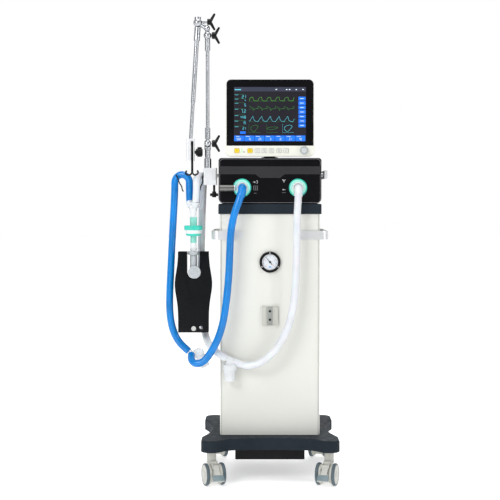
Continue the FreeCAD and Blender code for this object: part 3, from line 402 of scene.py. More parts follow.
def add_ribbon(shape, points, width, y):
    """Flat line drawn on a front face through (x, z) points in the row frame."""
    half = width / 2
    left, right = [], []
    for index, (x, z) in enumerate(points):
        ax, az = points[max(0, index - 1)]
        bx, bz = points[min(len(points) - 1, index + 1)]
        length = math.hypot(bx - ax, bz - az) or 1.0
        nx, nz = -(bz - az) / length * half, (bx - ax) / length * half
        left.append(shape.verts.new((x + nx, y, z + nz)))
        right.append(shape.verts.new((x - nx, y, z - nz)))
    for index in range(len(points) - 1):
        shape.faces.new((left[index], left[index + 1], right[index + 1], right[index]))


def add_level(shape, left, right, z, width, y):
    """Level line between two places across, measured from the centre line."""
    add_ribbon(shape, [(CENTRE_X + left, z), (CENTRE_X + right, z)], width, y)


def tube(name, route, radius, material, body, resolution=8):
    """Round rod whose line is a smooth curve guided by a few places."""
    data = bpy.data.curves.new(name, "CURVE")
    data.dimensions = "3D"
    data.bevel_depth = radius
    data.bevel_resolution = 6
    data.resolution_u = resolution
    data.use_fill_caps = True
    spline = data.splines.new("NURBS")
    spline.points.add(len(route) - 1)
    for point, place in zip(spline.points, route):
        point.co = (*at(*place), 1)
    spline.order_u = 3
    spline.use_endpoint_u = True
    return finish_piece(add_object(name, data), material, body)


# Strokes of each digit, then where each stroke runs, in half heights.
SEGMENTS = {"0": "abcdef", "1": "bc", "2": "abged", "3": "abgcd", "4": "fgbc", "5": "afgcd",
            "6": "afgedc", "7": "abc", "8": "abcdefg", "9": "abcdfg"}
SEGMENT_LINES = {"a": ((0, 2), (1, 2)), "b": ((1, 2), (1, 1)), "c": ((1, 1), (1, 0)), "d": ((0, 0), (1, 0)),
                 "e": ((0, 0), (0, 1)), "f": ((0, 1), (0, 2)), "g": ((0, 1), (1, 1))}


def add_number(shape, text, right, low, height, y):
    """Number in segment digits, set to end at a right edge."""
    digit = height * 0.46
    pitch = height * 0.72
    cursor = right - digit
    for character in reversed(text):
        if character == ".":
            cursor += pitch * 0.42
            add_ribbon(shape, [(cursor, low), (cursor + height * 0.12, low)], height * 0.14, y)
            cursor -= pitch * 0.86
            continue
        for name in SEGMENTS[character]:
            (ax, az), (bx, bz) = SEGMENT_LINES[name]
            start = (cursor + ax * digit, low + az * height / 2)
            end = (cursor + bx * digit, low + bz * height / 2)
            add_ribbon(shape, [start, end], height * 0.09, y)
        cursor -= pitch


# ---- hoses
BLUE_SUPPLY = [
    (-0.0995, -0.222, 0.9695), (-0.105, -0.224, 0.95), (-0.116, -0.226, 0.922), (-0.126, -0.227, 0.888),
    (-0.134, -0.227, 0.84), (-0.137, -0.227, 0.76), (-0.14, -0.227, 0.69), (-0.147, -0.227, 0.62),
    (-0.155, -0.228, 0.56), (-0.167, -0.228, 0.508), (-0.185, -0.229, 0.464), (-0.206, -0.23, 0.429),
    (-0.229, -0.232, 0.402), (-0.257, -0.226, 0.398), (-0.2705, -0.205, 0.414), (-0.268, -0.182, 0.424)]
BLUE_RETURN = [
    (-0.2785, -0.16, 0.434), (-0.296, -0.159, 0.449), (-0.313, -0.157, 0.467), (-0.329, -0.154, 0.495),
    (-0.34, -0.15, 0.532), (-0.345, -0.146, 0.582), (-0.344, -0.141, 0.644), (-0.341, -0.136, 0.706),
    (-0.338, -0.131, 0.778), (-0.334, -0.126, 0.858), (-0.33, -0.122, 0.932), (-0.3275, -0.1215, 0.988),
    (-0.3275, -0.1215, 1.028), (-0.302, -0.128, 1.044), (-0.2765, -0.135, 1.028), (-0.2765, -0.135, 1.0),
    (-0.276, -0.1355, 0.974), (-0.275, -0.136, 0.946)]
WHITE_SUPPLY = [
    (0.095, -0.222, 0.9695), (0.093, -0.224, 0.936), (0.091, -0.226, 0.904), (0.09, -0.226, 0.848),
    (0.089, -0.226, 0.78), (0.0875, -0.226, 0.71), (0.084, -0.226, 0.64), (0.074, -0.226, 0.566),
    (0.053, -0.226, 0.502), (0.023, -0.226, 0.45), (-0.008, -0.224, 0.418), (-0.04, -0.219, 0.397),
    (-0.07, -0.212, 0.389), (-0.097, -0.206, 0.392), (-0.122, -0.204, 0.4035)]
WHITE_RETURN = [
    (-0.151, -0.204, 0.415), (-0.176, -0.203, 0.43), (-0.199, -0.19, 0.45), (-0.212, -0.158, 0.462),
    (-0.221, -0.122, 0.48), (-0.23, -0.096, 0.518), (-0.236, -0.09, 0.578), (-0.239, -0.09, 0.66),
    (-0.238, -0.092, 0.748), (-0.236, -0.095, 0.836), (-0.234, -0.097, 0.92), (-0.231, -0.098, 0.98),
    (-0.229, -0.098, 1.0255), (-0.24, -0.132, 1.046), (-0.251, -0.166, 1.0255), (-0.2505, -0.167, 1.0),
    (-0.2515, -0.166, 0.973), (-0.253, -0.164, 0.946)]
# Each hose: its route from fitting to fitting, its finish and its stated length.
HOSES = {
    "hose_blue_supply": (BLUE_SUPPLY, "hose_blue", 0.673),
    "hose_blue_return": (BLUE_RETURN, "hose_blue", 0.753),
    "hose_white_supply": (WHITE_SUPPLY, "hose_white", 0.701),
    "hose_white_return": (WHITE_RETURN, "hose_white", 0.845),
}


def make_hoses():
    """Four smooth hoses, each swept along its route from fitting to fitting."""
    for node, (route, material, length) in HOSES.items():
        piece = tube(node + "_skin", route, HOSE_RADIUS, material, "root", resolution=12)
        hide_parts(node)


# ---- carried-over nodes
def paint_nodes():
    """Finish of each node whose own mesh is shown."""
    finishes = {
        "base_paint": ["base_casting", "top_shelf"],
        "cabinet_paint": ["cabinet_shell", "cabinet_back_panel"],
        "black_plastic": ["under_tray", "blower", "monitor_neck", "clamp_screw", "hose_hanger"],
        "black_shine": ["lobed_knob", "lower_t_knob", "elbow_t_knob", "head_t_knob", "gauge_housing"],
        "inner_metal": ["compressor"],
        "brushed_metal": ["side_handles", "side_rails"],
        "bracket_metal": ["accessory_bracket"],
        "black_ink": ["gauge_needle"],
        "module_black": ["module_shell"],
        "module_gloss": ["module_front", "monitor_bezel"],
        "ivory_plastic": ["monitor_rear_shell", "monitor_band"],
        "knob_grey": ["rotary_knob"],
        "screen_black": ["screen_panel"],
        "key_yellow": ["key_alarm", "key_breath"],
        "key_white": ["key_suction", "key_nebuliser", "key_freeze", "key_standby", "key_menu"],
        "cast_metal": ["rail_clamp", "arm_end_block"],
        "chrome": ["arm_post", "arm_lower_rod", "arm_upper_rod"],
        "clear": ["water_trap_caps", "trap_cup_blue", "trap_cup_white", "clear_connectors"],
        "caster_light": ["brake_pedal_front_left", "brake_pedal_front_right"],
        "caster_grey": ["caster_fork_" + corner for corner in CORNERS],
    }
    for material, names in finishes.items():
        for name in names:
            mesh = NODES[name].data
            mesh.materials.clear()
            mesh.materials.append(MATERIALS[material])


# ---- casters
def make_wheels():
    """Thin tyres on moulded wheels, with dished discs and hub caps, on each caster."""
    tyre = [(0.0, 0.0085), (0.0342, 0.0085), (0.0362, 0.009), (WHEEL_RADIUS, 0.0112), (WHEEL_RADIUS, 0.015),
            (0.0371, 0.0172), (0.0362, 0.019), (0.0348, 0.02), (0.0334, 0.0196), (0.0328, 0.018),
            (0.0, 0.018)]
    inner = [(0.0, 0.0), (0.029, 0.0), (0.0315, 0.001), (0.033, 0.0034), (0.0334, 0.0088), (0.0, 0.0088)]
    disc = [(0.0, 0.0175), (0.0326, 0.0175), (0.0326, 0.0196), (0.0316, 0.0205), (0.03, 0.0202),
            (0.027, 0.0192), (0.0225, 0.0188), (0.012, 0.019), (0.0105, 0.0204), (0.008, 0.0208),
            (0.0, 0.0209)]
    forms = (("tyre", tyre, "tyre"), ("wheel_inner", inner, "caster_grey"),
             ("wheel_disc", disc, "caster_light"))
    middle_gap = 0.0136
    for corner, side in CORNERS.items():
        node = "caster_wheels_" + corner
        body = "wheels_" + corner
        low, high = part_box(node)
        middle = (low + high) / 2
        axle = Vector((math.cos(side * CASTER_YAW), math.sin(side * CASTER_YAW), 0))
        pieces = []
        for end, label in ((1, "outer"), (-1, "inner")):
            outward = axle * end
            start = middle + outward * middle_gap
            for form, profile, material in forms:
                name = "%s_%s_%s" % (form, corner, label)
                pieces.append(lathe(name, profile, start, outward, material, body, 72))
        shaft = [(0.0, -middle_gap), (0.0039, -middle_gap), (0.0039, middle_gap), (0.0, middle_gap)]
        pieces.append(lathe("axle_" + corner, shaft, middle, axle, "screw", body, 24))
        for piece in pieces:
            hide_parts(node)


def make_paddles():
    """Rubber tread over the paddle of each brake pedal."""
    half_width = 0.0186
    outline = [(-half_width, 0.0), (half_width, 0.0), (half_width, 0.0215), (0.012, 0.024),
               (-0.012, 0.024), (-half_width, 0.0215)]
    for corner in ("front_left", "front_right"):
        low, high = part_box("caster_wheels_" + corner)
        middle = (low + high) / 2
        turn = Matrix.Translation(middle) @ Matrix.Rotation(CORNERS[corner] * CASTER_YAW, 4, "Z")
        slope = Vector((0, PADDLE_KNEE[0] - PADDLE_TIP[0], PADDLE_KNEE[1] - PADDLE_TIP[1])).normalized()
        upward = Vector((1, 0, 0)).cross(slope)
        foot = Vector((0, PADDLE_TIP[0] - AXLE_Y, PADDLE_TIP[1] - WHEEL_RADIUS)) + slope * 0.0015
        shape = bmesh.new()
        levels = ((0.0, -0.0026), (0.0, 0.0019), (0.0012, 0.0026))
        rings = []
        for inset, height in levels:
            ring = []
            for across, along in outline:
                shrunk = across * (1 - inset / half_width)
                place = foot + Vector((shrunk, 0, 0)) + slope * (along * (1 - inset / 0.02))
                ring.append(shape.verts.new(turn @ (place + upward * height)))
            rings.append(ring)
        add_skin(shape, rings)
        piece_from("pedal_tread_" + corner, shape, "pedal", "pedal_" + corner)


# ---- gauge
def make_gauge():
    """Dial with ticks, red numbers and a blue mark behind the needle, and the flange screws."""
    low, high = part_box("gauge_housing")
    dial_y = CENTRE_Y + FRONT - 0.0024
    centre = Vector(((low.x + high.x) / 2, dial_y, (low.z + high.z) / 2))
    dial = [(0.0, 0.0), (0.0268, 0.0), (0.0268, 0.0004), (0.0, 0.0004)]
    lathe("gauge_dial", dial, centre + Vector((0, 0.0004, 0)), FORWARD, "dial", "root")
    ring = [(0.0262, 0.0), (0.027, 0.0), (0.027, 0.0062), (0.0262, 0.0062)]
    lathe("gauge_inner_ring", ring, centre, FORWARD, "screw", "root", closed=False)
    ink_y = dial_y - 0.0002
    ink = bmesh.new()
    marks = 41
    start_angle, sweep = 225, 270
    for index in range(marks):
        angle = math.radians(start_angle - sweep * index / (marks - 1))
        outer = 0.024
        inner = outer - (0.0042 if index % 5 == 0 else 0.0022)
        points = [(centre.x + r * math.cos(angle), centre.z + r * math.sin(angle)) for r in (inner, outer)]
        add_ribbon(ink, points, 0.0008 if index % 5 == 0 else 0.00045, ink_y)
    piece_from("gauge_marks", ink, "black_ink", "root")
    numbers = bmesh.new()
    size = 0.005
    for index in range(5):
        angle = math.radians(start_angle - sweep * index / 4)
        x = centre.x + 0.016 * math.cos(angle) + size * 0.24
        z = centre.z + 0.016 * math.sin(angle) - size / 2
        add_number(numbers, str(index * 2), x, z, size, ink_y)
    piece_from("gauge_numbers", numbers, "red_ink", "root")
    mark = bmesh.new()
    mark_z = centre.z - 0.0165
    add_ribbon(mark, [(centre.x - 0.0042, mark_z), (centre.x + 0.0042, mark_z)], 0.0034, ink_y)
    piece_from("gauge_blue_mark", mark, "blue_ink", "root")
    for angle in (90, 210, 330):
        x = centre.x + 0.0315 * math.cos(math.radians(angle))
        z = centre.z + 0.0315 * math.sin(math.radians(angle))
        add_screw("gauge_screw_%d" % angle, Vector((x, low.y, z)), FORWARD, "root", 0.0024)


# ---- module front
def make_module_front():
    """Label strip, small icons and a painted highlight along the bevel on the module's front, with its two
    ports.
    """
    outline = [(-0.1752, 1.0675), (-0.1752, 1.0405), (-0.05, 1.0405), (-0.034, 1.028), (0.034, 1.028),
               (0.05, 1.0405), (0.1752, 1.0405), (0.1752, 1.0675)]
    shape = bmesh.new()
    add_slab(shape, [(CENTRE_X + x, z) for x, z in outline], CENTRE_Y + FRONT - 0.0004,
             CENTRE_Y + FRONT + 0.0002)
    piece_from("module_label_strip", shape, "strip", "root")
    icons = bmesh.new()
    line_y = CENTRE_Y + FRONT - 0.0006

    def line(points, width=0.0011):
        """Stroke of the icon being drawn."""
        add_ribbon(icons, [(CENTRE_X + x, z) for x, z in points], width, line_y)

    line([(0.043, 1.023), (0.0475, 1.016), (0.052, 1.023)], 0.0018)
    line([(0.0475, 1.016), (0.0475, 1.012)])
    line([(-0.058, 1.014), (-0.05, 1.014)])
    line([(-0.053, 1.017), (-0.05, 1.014), (-0.053, 1.011)])
    line([(-0.0465, 1.0175), (-0.0425, 1.0175), (-0.0425, 1.0105), (-0.0465, 1.0105)])
    line([(0.043, 0.988), (0.053, 0.988)])
    line([(0.046, 0.9905), (0.043, 0.988), (0.046, 0.9855)])
    piece_from("module_icons", icons, "white_ink", "root")
    icons = bmesh.new()
    for x in (-0.0565, -0.0495, -0.0425):
        line([(x, 0.987), (x, 1.001)], 0.001)
    for z in (0.987, 0.994, 1.001):
        line([(-0.057, z), (-0.042, z)], 0.001)
    line([(-0.055, 0.976), (-0.046, 0.976)])
    line([(0.041, 0.978), (0.053, 0.978)])
    piece_from("module_grey_icons", icons, "grey_ink", "root")
    # Grey line along the inner bevel of the front: painted highlight.
    bevel_highlight = bmesh.new()
    outline = rounded_outline(-0.1715, 0.1715, 0.944, 1.0925, 0.012)
    points = [(CENTRE_X + x, z) for x, z in outline + outline[:1]]
    add_ribbon(bevel_highlight, points, 0.001, CENTRE_Y + FRONT - 0.0003)
    piece_from("module_bevel_highlight", bevel_highlight, "grey_ink", "root")
    make_ports()


def make_ports():
    """Teal filter discs with a rounded rim, white rings and swept cuffs."""
    rim = [(0.0, 0.0), (0.0302, 0.0), (0.031, 0.0012), (0.031, 0.0108), (0.0302, 0.013), (0.0284, 0.0137),
           (0.0272, 0.0128), (0.0, 0.0124)]
    disc = [(0.0, 0.0122), (0.0268, 0.0122), (0.0262, 0.0135), (0.024, 0.0139), (0.0222, 0.013),
            (0.0, 0.0126)]
    ring = [(0.0, 0.011), (0.0188, 0.011), (0.0192, 0.015), (0.0186, 0.0205), (0.0172, 0.022),
            (0.0155, 0.0215), (0.0148, 0.019), (0.0, 0.019)]
    for side, label, cuff, hose in ((-1, "left", "hose_blue", "blue"), (1, "right", "hose_white", "white")):
        x = side * 0.095
        z = 0.9945
        centre = at(x, FRONT, z)
        for name, profile, finish in (("rim", rim, "teal"), ("disc", disc, "mint")):
            cap = lathe("port_%s_%s" % (name, label), profile, centre, FORWARD, finish, "root", 96)
            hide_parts("port_filters")
        collar = lathe("port_ring_" + label, ring, centre, FORWARD, "white_plastic", "root", 72)
        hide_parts("port_filters")
        lean = 0.45 if side < 0 else 0.06
        bend = [(x, FRONT - 0.018, z), (x, FRONT - 0.032, z), (x, FRONT - 0.046, 0.99),
                (x, FRONT - 0.047, 0.978), (x - lean * 0.01, FRONT - 0.047, 0.968)]
        elbow = tube("port_elbow_" + hose, bend, 0.0142, cuff, "root", resolution=12)
        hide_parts("port_elbows")
        lip = [(0.0128, -0.004), (0.0148, -0.0035), (0.0152, 0.0), (0.0148, 0.0035), (0.0128, 0.004)]
        place = at(x - lean * 0.01, FRONT - 0.047, 0.969)
        lathe("port_cuff_lip_" + hose, lip, place, (lean, 0, 1), cuff, "root", 48, closed=False)


# ---- monitor
def screen_rect(shape, x0, x1, z0, z1, y, radius=0.0008):
    """Flat patch of the display with slightly round corners."""
    outline = [(CENTRE_X + x, z) for x, z in rounded_outline(x0, x1, z0, z1, radius, 3)]
    shape.faces.new([shape.verts.new((x, y, z)) for x, z in outline])


def make_screen():
    """Ventilation display: numbers, waves, loops and soft keys."""
    base = CENTRE_Y + SCREEN_Y
    layers = {name: bmesh.new() for name in ("screen_light", "bar_light", "cyan_light", "green_light",
                                             "dim_green_light", "blue_light", "white_light")}
    screen_rect(layers["screen_light"], SCREEN_LEFT, SCREEN_RIGHT, SCREEN_LOW, SCREEN_HIGH, base - 0.0001)
    screen_rect(layers["bar_light"], SCREEN_LEFT + 0.001, SCREEN_RIGHT - 0.001, 1.3225, 1.337,
                base - 0.0002)
    front = base - 0.0004
    cyan, dim = layers["cyan_light"], layers["dim_green_light"]
    values = (("21", 1.3045, 0.01), ("4", 1.292, 0.006), ("5", 1.2765, 0.0085), ("7.2", 1.2557, 0.01),
              ("448", 1.235, 0.0085), ("15", 1.216, 0.0085), ("21", 1.197, 0.0085))
    for text, middle, height in values:
        add_number(cyan, text, CENTRE_X - 0.083, middle - height / 2, height, front)
        rule = middle + height / 2 + 0.0035
        add_level(dim, -0.121, -0.086, rule, 0.0004, front)
        add_level(cyan, -0.12, -0.108, rule - 0.0022, 0.0009, front)
    screen_rect(layers["blue_light"], -0.102, -0.083, 1.1785, 1.1865, front)
    add_level(cyan, -0.12, -0.099, 1.3285, 0.0026, front)
    for x in (0.019, 0.054, 0.064, 0.087, 0.11):
        add_level(layers["white_light"], x, x + 0.005, 1.329, 0.0024, front)
    make_waves(layers, front)
    make_soft_keys(layers, front)
    for name, shape in layers.items():
        piece = piece_from("display_" + name, shape, name, "monitor")


def make_waves(layers, y):
    """Pressure, flow and volume traces above three loops with their axes."""
    cyan, green, dim = layers["cyan_light"], layers["green_light"], layers["dim_green_light"]
    left, right = -0.0705, 0.084
    samples = 181

    breaths = 5.2
    line_width = 0.0007

    def plot(shape, middle, height, form):
        """One trace over the breaths shown, from its form over a single breath."""
        points = []
        for index in range(samples):
            share = index / (samples - 1)
            value = form(share * breaths % 1.0)
            points.append((CENTRE_X + left + (right - left) * share, middle + height * value))
        add_ribbon(shape, points, line_width, y)

    def pressure(t):
        """Quick rise, slow climb and fast fall."""
        if t < 0.08:
            return t / 0.08 * 0.75
        if t < 0.42:
            return 0.75 + 0.25 * math.sin((t - 0.08) / 0.34 * math.pi / 2)
        return math.exp(-(t - 0.42) * 22)

    def flow(t):
        """Inward flow that fades, then outward flow that fades."""
        if t < 0.42:
            return 0.9 * math.exp(-t * 3.2)
        return -0.9 * math.exp(-(t - 0.42) * 8)

    def volume(t):
        """Steady fill, then emptying."""
        if t < 0.42:
            return t / 0.42
        return math.exp(-(t - 0.42) * 9)

    plot(green, 1.2905, 0.0125, pressure)
    plot(dim, 1.2645, 0.0095, flow)
    plot(cyan, 1.22, 0.0185, volume)
    for z in (1.2905, 1.2645, 1.22):
        add_level(dim, left, right, z - 0.0008, 0.0003, y)
        for tick in range(6):
            x = CENTRE_X + left + 0.03 * tick
            add_ribbon(dim, [(x, z - 0.0028), (x, z - 0.0008)], 0.0004, y)
    for x, width, height, shape in ((-0.053, 0.011, 0.0105, dim), (0.008, 0.017, 0.0045, dim),
                                    (0.062, 0.012, 0.0105, cyan)):
        loop = []
        for step in range(49):
            angle = 2 * math.pi * step / 48
            loop.append((CENTRE_X + x + width * math.cos(angle) + width * 0.25 * math.sin(2 * angle),
                         1.197 + height * math.sin(angle) + height * 0.35 * math.cos(angle)))
        add_ribbon(shape, loop, line_width, y)
        axis = CENTRE_X + x - 0.019
        axes = [(axis, 1.212), (axis, 1.183), (axis + 0.038, 1.183)]
        add_ribbon(shape, axes, 0.0004, y)


def make_soft_keys(layers, y):
    """Seven keys down the right edge and seven settings along the bottom."""
    blue, white = layers["blue_light"], layers["white_light"]
    for index in range(7):
        high = 1.3045 - index * 0.0152
        screen_rect(blue, 0.097, 0.1212, high - 0.0128, high, y, 0.0012)
        middle = high - 0.0064
        add_level(white, 0.1025, 0.1155, middle, 0.0013, y - 0.0002)
    cell = 0.0348
    for index, text in enumerate(("550", "15", "20", "5", "12", "21", "40")):
        x = SCREEN_LEFT + 0.001 + index * cell
        screen_rect(blue, x, x + cell - 0.0014, 1.1535, 1.1725, y, 0.0012)
        add_level(white, x + 0.005, x + 0.018, 1.1696, 0.001, y - 0.0002)
        add_number(white, text, CENTRE_X + x + 0.0215, 1.157, 0.0068, y - 0.0002)


def make_monitor_trim():
    """Symbols and edges of the push keys, lamps, and the rotary knob's cap and skirt."""
    sides_of_symbol = {"key_alarm": 3, "key_breath": 24, "key_suction": 4, "key_nebuliser": 5,
                       "key_freeze": 6, "key_standby": 24, "key_menu": 4}
    size = 0.0036
    line_width = 0.0008
    for index, (node, sides) in enumerate(sides_of_symbol.items()):
        low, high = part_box(node)
        x, z = (low.x + high.x) / 2, (low.z + high.z) / 2
        ink_y = low.y - 0.00015
        shape = bmesh.new()
        turn = math.pi / 2 if sides != 4 else math.pi / 4
        loop = []
        for step in range(sides):
            angle = turn + 2 * math.pi * step / sides
            loop.append((x + size * math.cos(angle), z + size * math.sin(angle)))
        add_ribbon(shape, loop + loop[:2], line_width, ink_y)
        if index % 2:
            add_ribbon(shape, [(x, z - 0.0014), (x, z + 0.0022)], line_width, ink_y)
        piece_from(node + "_symbol", shape, "black_ink", node)
        edge = bmesh.new()
        outline = rounded_outline(low.x + line_width, high.x - line_width, low.z + line_width,
                                  high.z - line_width, 0.004)
        add_ribbon(edge, outline + outline[:1], line_width, ink_y)
        piece_from(node + "_edge", edge, "grey_ink", node)
    for index, (x, z) in enumerate(((-0.0965, 1.1255), (-0.0965, 1.1165), (-0.0885, 1.1165))):
        lamp = [(0.0, 0.0), (0.0021, 0.0), (0.0019, 0.0007), (0.001, 0.0011), (0.0, 0.0012)]
        material = "led_green" if index < 2 else "black_ink"
        lathe("lamp_%d" % index, lamp, at(x, MONITOR_Y, z), FORWARD, material, "monitor", 24)
    low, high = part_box("rotary_knob")
    x, z = (low.x + high.x) / 2, (low.z + high.z) / 2
    cap = [(0.0, 0.0), (0.0088, 0.0), (0.0084, 0.0006), (0.0, 0.0009)]
    lathe("knob_cap", cap, Vector((x, low.y, z)), FORWARD, "brushed_metal", "rotary_knob", 48)
    skirt = [(0.0128, 0.0), (0.015, 0.0), (0.0148, 0.0012), (0.0128, 0.0014)]
    lathe("knob_skirt", skirt, Vector((x, CENTRE_Y + MONITOR_Y, z)), FORWARD, "caster_grey", "monitor", 64)


def make_monitor_back():
    """Black strips of painted shade for the vent slots, and screws on the rear shell."""
    # Black strips where the vent slots are: painted shade inside the openings.
    for row in range(9):
        z = 1.315 - row * 0.0075
        rounded_plate("rear_vent_shade_%d" % row, 0.07, z, 0.0014, 0.0014, MONITOR_BACK + 0.0004,
                      MONITOR_BACK - 0.001, "black_ink", "monitor")
    for side in (-1, 1):
        for z in (1.125, 1.34):
            name = "monitor_screw_%s_%d" % ("left" if side < 0 else "right", round(z * 1000))
            add_screw(name, at(side * 0.125, MONITOR_BACK, z), (0, 1, 0), "monitor")


def add_screw(name, place, direction, body, radius=0.0034):
    """Pan-head screw with a round recess."""
    profile = [(0.0, 0.0), (radius, 0.0), (radius, radius * 0.25), (radius * 0.8, radius * 0.55),
               (radius * 0.4, radius * 0.66), (radius * 0.36, radius * 0.3), (0.0, radius * 0.3)]
    return lathe(name, profile, place, direction, "screw", body, 24)


# ---- cabinet trim
def make_cabinet_trim():
    """Louvres and screws on the back, seams on the front that also paint the shade of the rounded edges,
    and painted shade in the bracket's channel and holes.
    """
    back = CABINET_HALF_DEPTH
    for index in range(10):
        z = 0.62 + index * 0.014
        rounded_plate("louvre_%d" % index, 0.09, z, 0.0028, 0.0028, back + 0.0012, back - 0.001,
                      "black_plastic", "root")
    for side in (-1, 1):
        for index, z in enumerate((0.17, 0.52, 0.88)):
            name = "back_screw_%s_%d" % ("left" if side < 0 else "right", index)
            add_screw(name, at(side * 0.157, back, z), (0, 1, 0), "root")
        # Lines near the rounded front edges: a real seam, with painted shade of the edge rounding.
        seam = bmesh.new()
        x = CENTRE_X + side * 0.1655
        add_ribbon(seam, [(x, 0.15), (x, 0.904)], 0.0012, CENTRE_Y + FRONT - 0.0002)
        piece_from("cabinet_joint_and_edge_shade_" + ("left" if side < 0 else "right"), seam, "seam", "root")
    # Thin darker plate in the bracket's recessed channel: painted shade.
    rounded_plate("bracket_channel_shade", 0.00925, 0.557, 0.032, 0.001, FRONT - 0.0043, FRONT - 0.0039,
                  "bracket_channel_shade", "root", steps=6)
    # Black discs over the bracket's holes: painted shade inside the holes.
    for index, z in enumerate((0.544, 0.573)):
        head = [(0.0, 0.0), (0.0042, 0.0), (0.0042, 0.0006), (0.0022, 0.0007), (0.0, 0.0003)]
        place = at(0, FRONT - 0.0042, z)
        lathe("bracket_hole_shade_%d" % index, head, place, FORWARD, "black_ink", "root", 32)


# ---- filter and lung
def make_filter():
    """Heat and moisture filter, the cuffs of the Y-piece and the clear collar below it."""
    x, y = FILTER_X, FILTER_Y
    upper = [(0.0, 0.864), (0.012, 0.864), (0.0125, 0.866), (0.0125, 0.894), (0.0, 0.894)]
    rim = [(0.0, 0.85), (0.03, 0.85), (0.0317, 0.8515), (0.032, 0.854), (0.032, 0.8625),
           (0.0312, 0.8648), (0.029, 0.8655), (0.0272, 0.864), (0.0, 0.8636)]
    middle = [(0.0, 0.838), (0.0268, 0.838), (0.0276, 0.8395), (0.028, 0.85), (0.0, 0.8504)]
    lip = [(0.0, 0.83), (0.0225, 0.83), (0.025, 0.832), (0.0262, 0.835), (0.0264, 0.8385),
           (0.0, 0.839)]
    lower = [(0.0, 0.8064), (0.0108, 0.8064), (0.0108, 0.828), (0.013, 0.8304), (0.0, 0.8304)]
    parts = (("filter_top", upper, "teal_clear"), ("filter_rim", rim, "teal"),
             ("filter_body", middle, "white_plastic"), ("filter_lip", lip, "teal"),
             ("filter_bottom", lower, "teal_clear"))
    for name, profile, material in parts:
        piece = lathe(name, profile, at(x, y, 0), (0, 0, 1), material, "root", 80)
        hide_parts("hme_filter")
    cuff = [(0.0128, 0.0), (0.0139, 0.0008), (0.0139, 0.015), (0.0132, 0.019), (0.0115, 0.0215)]
    junction = at(x, y, 0.912)
    for name, end in (("blue", at(-0.275, -0.136, 0.946)), ("white", at(-0.253, -0.164, 0.946))):
        along = (junction - end).normalized()
        lathe("wye_cuff_" + name, cuff, end - along * 0.003, along, "clear", "root", 48, closed=False)
    collar = [(0.0112, 0.779), (0.0128, 0.7795), (0.0128, 0.785), (0.0118, 0.7868), (0.0112, 0.787)]
    lathe("connector_collar", collar, at(x, y, 0), (0, 0, 1), "clear", "root", 48, closed=False)


def lung_outline(shrink):
    """Right edge of the bag from low to high, slightly bulged above mid height."""
    low, high = LUNG_LOW + shrink, LUNG_HIGH - shrink
    steps = 28
    right = []
    for index in range(steps + 1):
        z = low + (high - low) * index / steps
        swell = math.exp(-((z - 0.664) / 0.058) ** 2)
        right.append((0.0535 + 0.0115 * swell - shrink, z))
    return right


def bore_holes(pieces, centre, radius, length):
    """Drills one hole through several pieces along Y."""
    shape = bmesh.new()
    add_lathe(shape, [(0.0, -length / 2), (radius, -length / 2), (radius, length / 2), (0.0, length / 2)],
              centre, FORWARD, 40)
    bmesh.ops.recalc_face_normals(shape, faces=shape.faces)
    drill = mesh_object("drill", shape)
    for piece in pieces:
        cut = piece.modifiers.new("hole", "BOOLEAN")
        cut.object = drill
        cut.solver = "EXACT"
        graph = bpy.context.evaluated_depsgraph_get()
        bored = bpy.data.meshes.new_from_object(piece.evaluated_get(graph))
        piece.modifiers.clear()
        piece.data = bored
    bpy.data.objects.remove(drill)


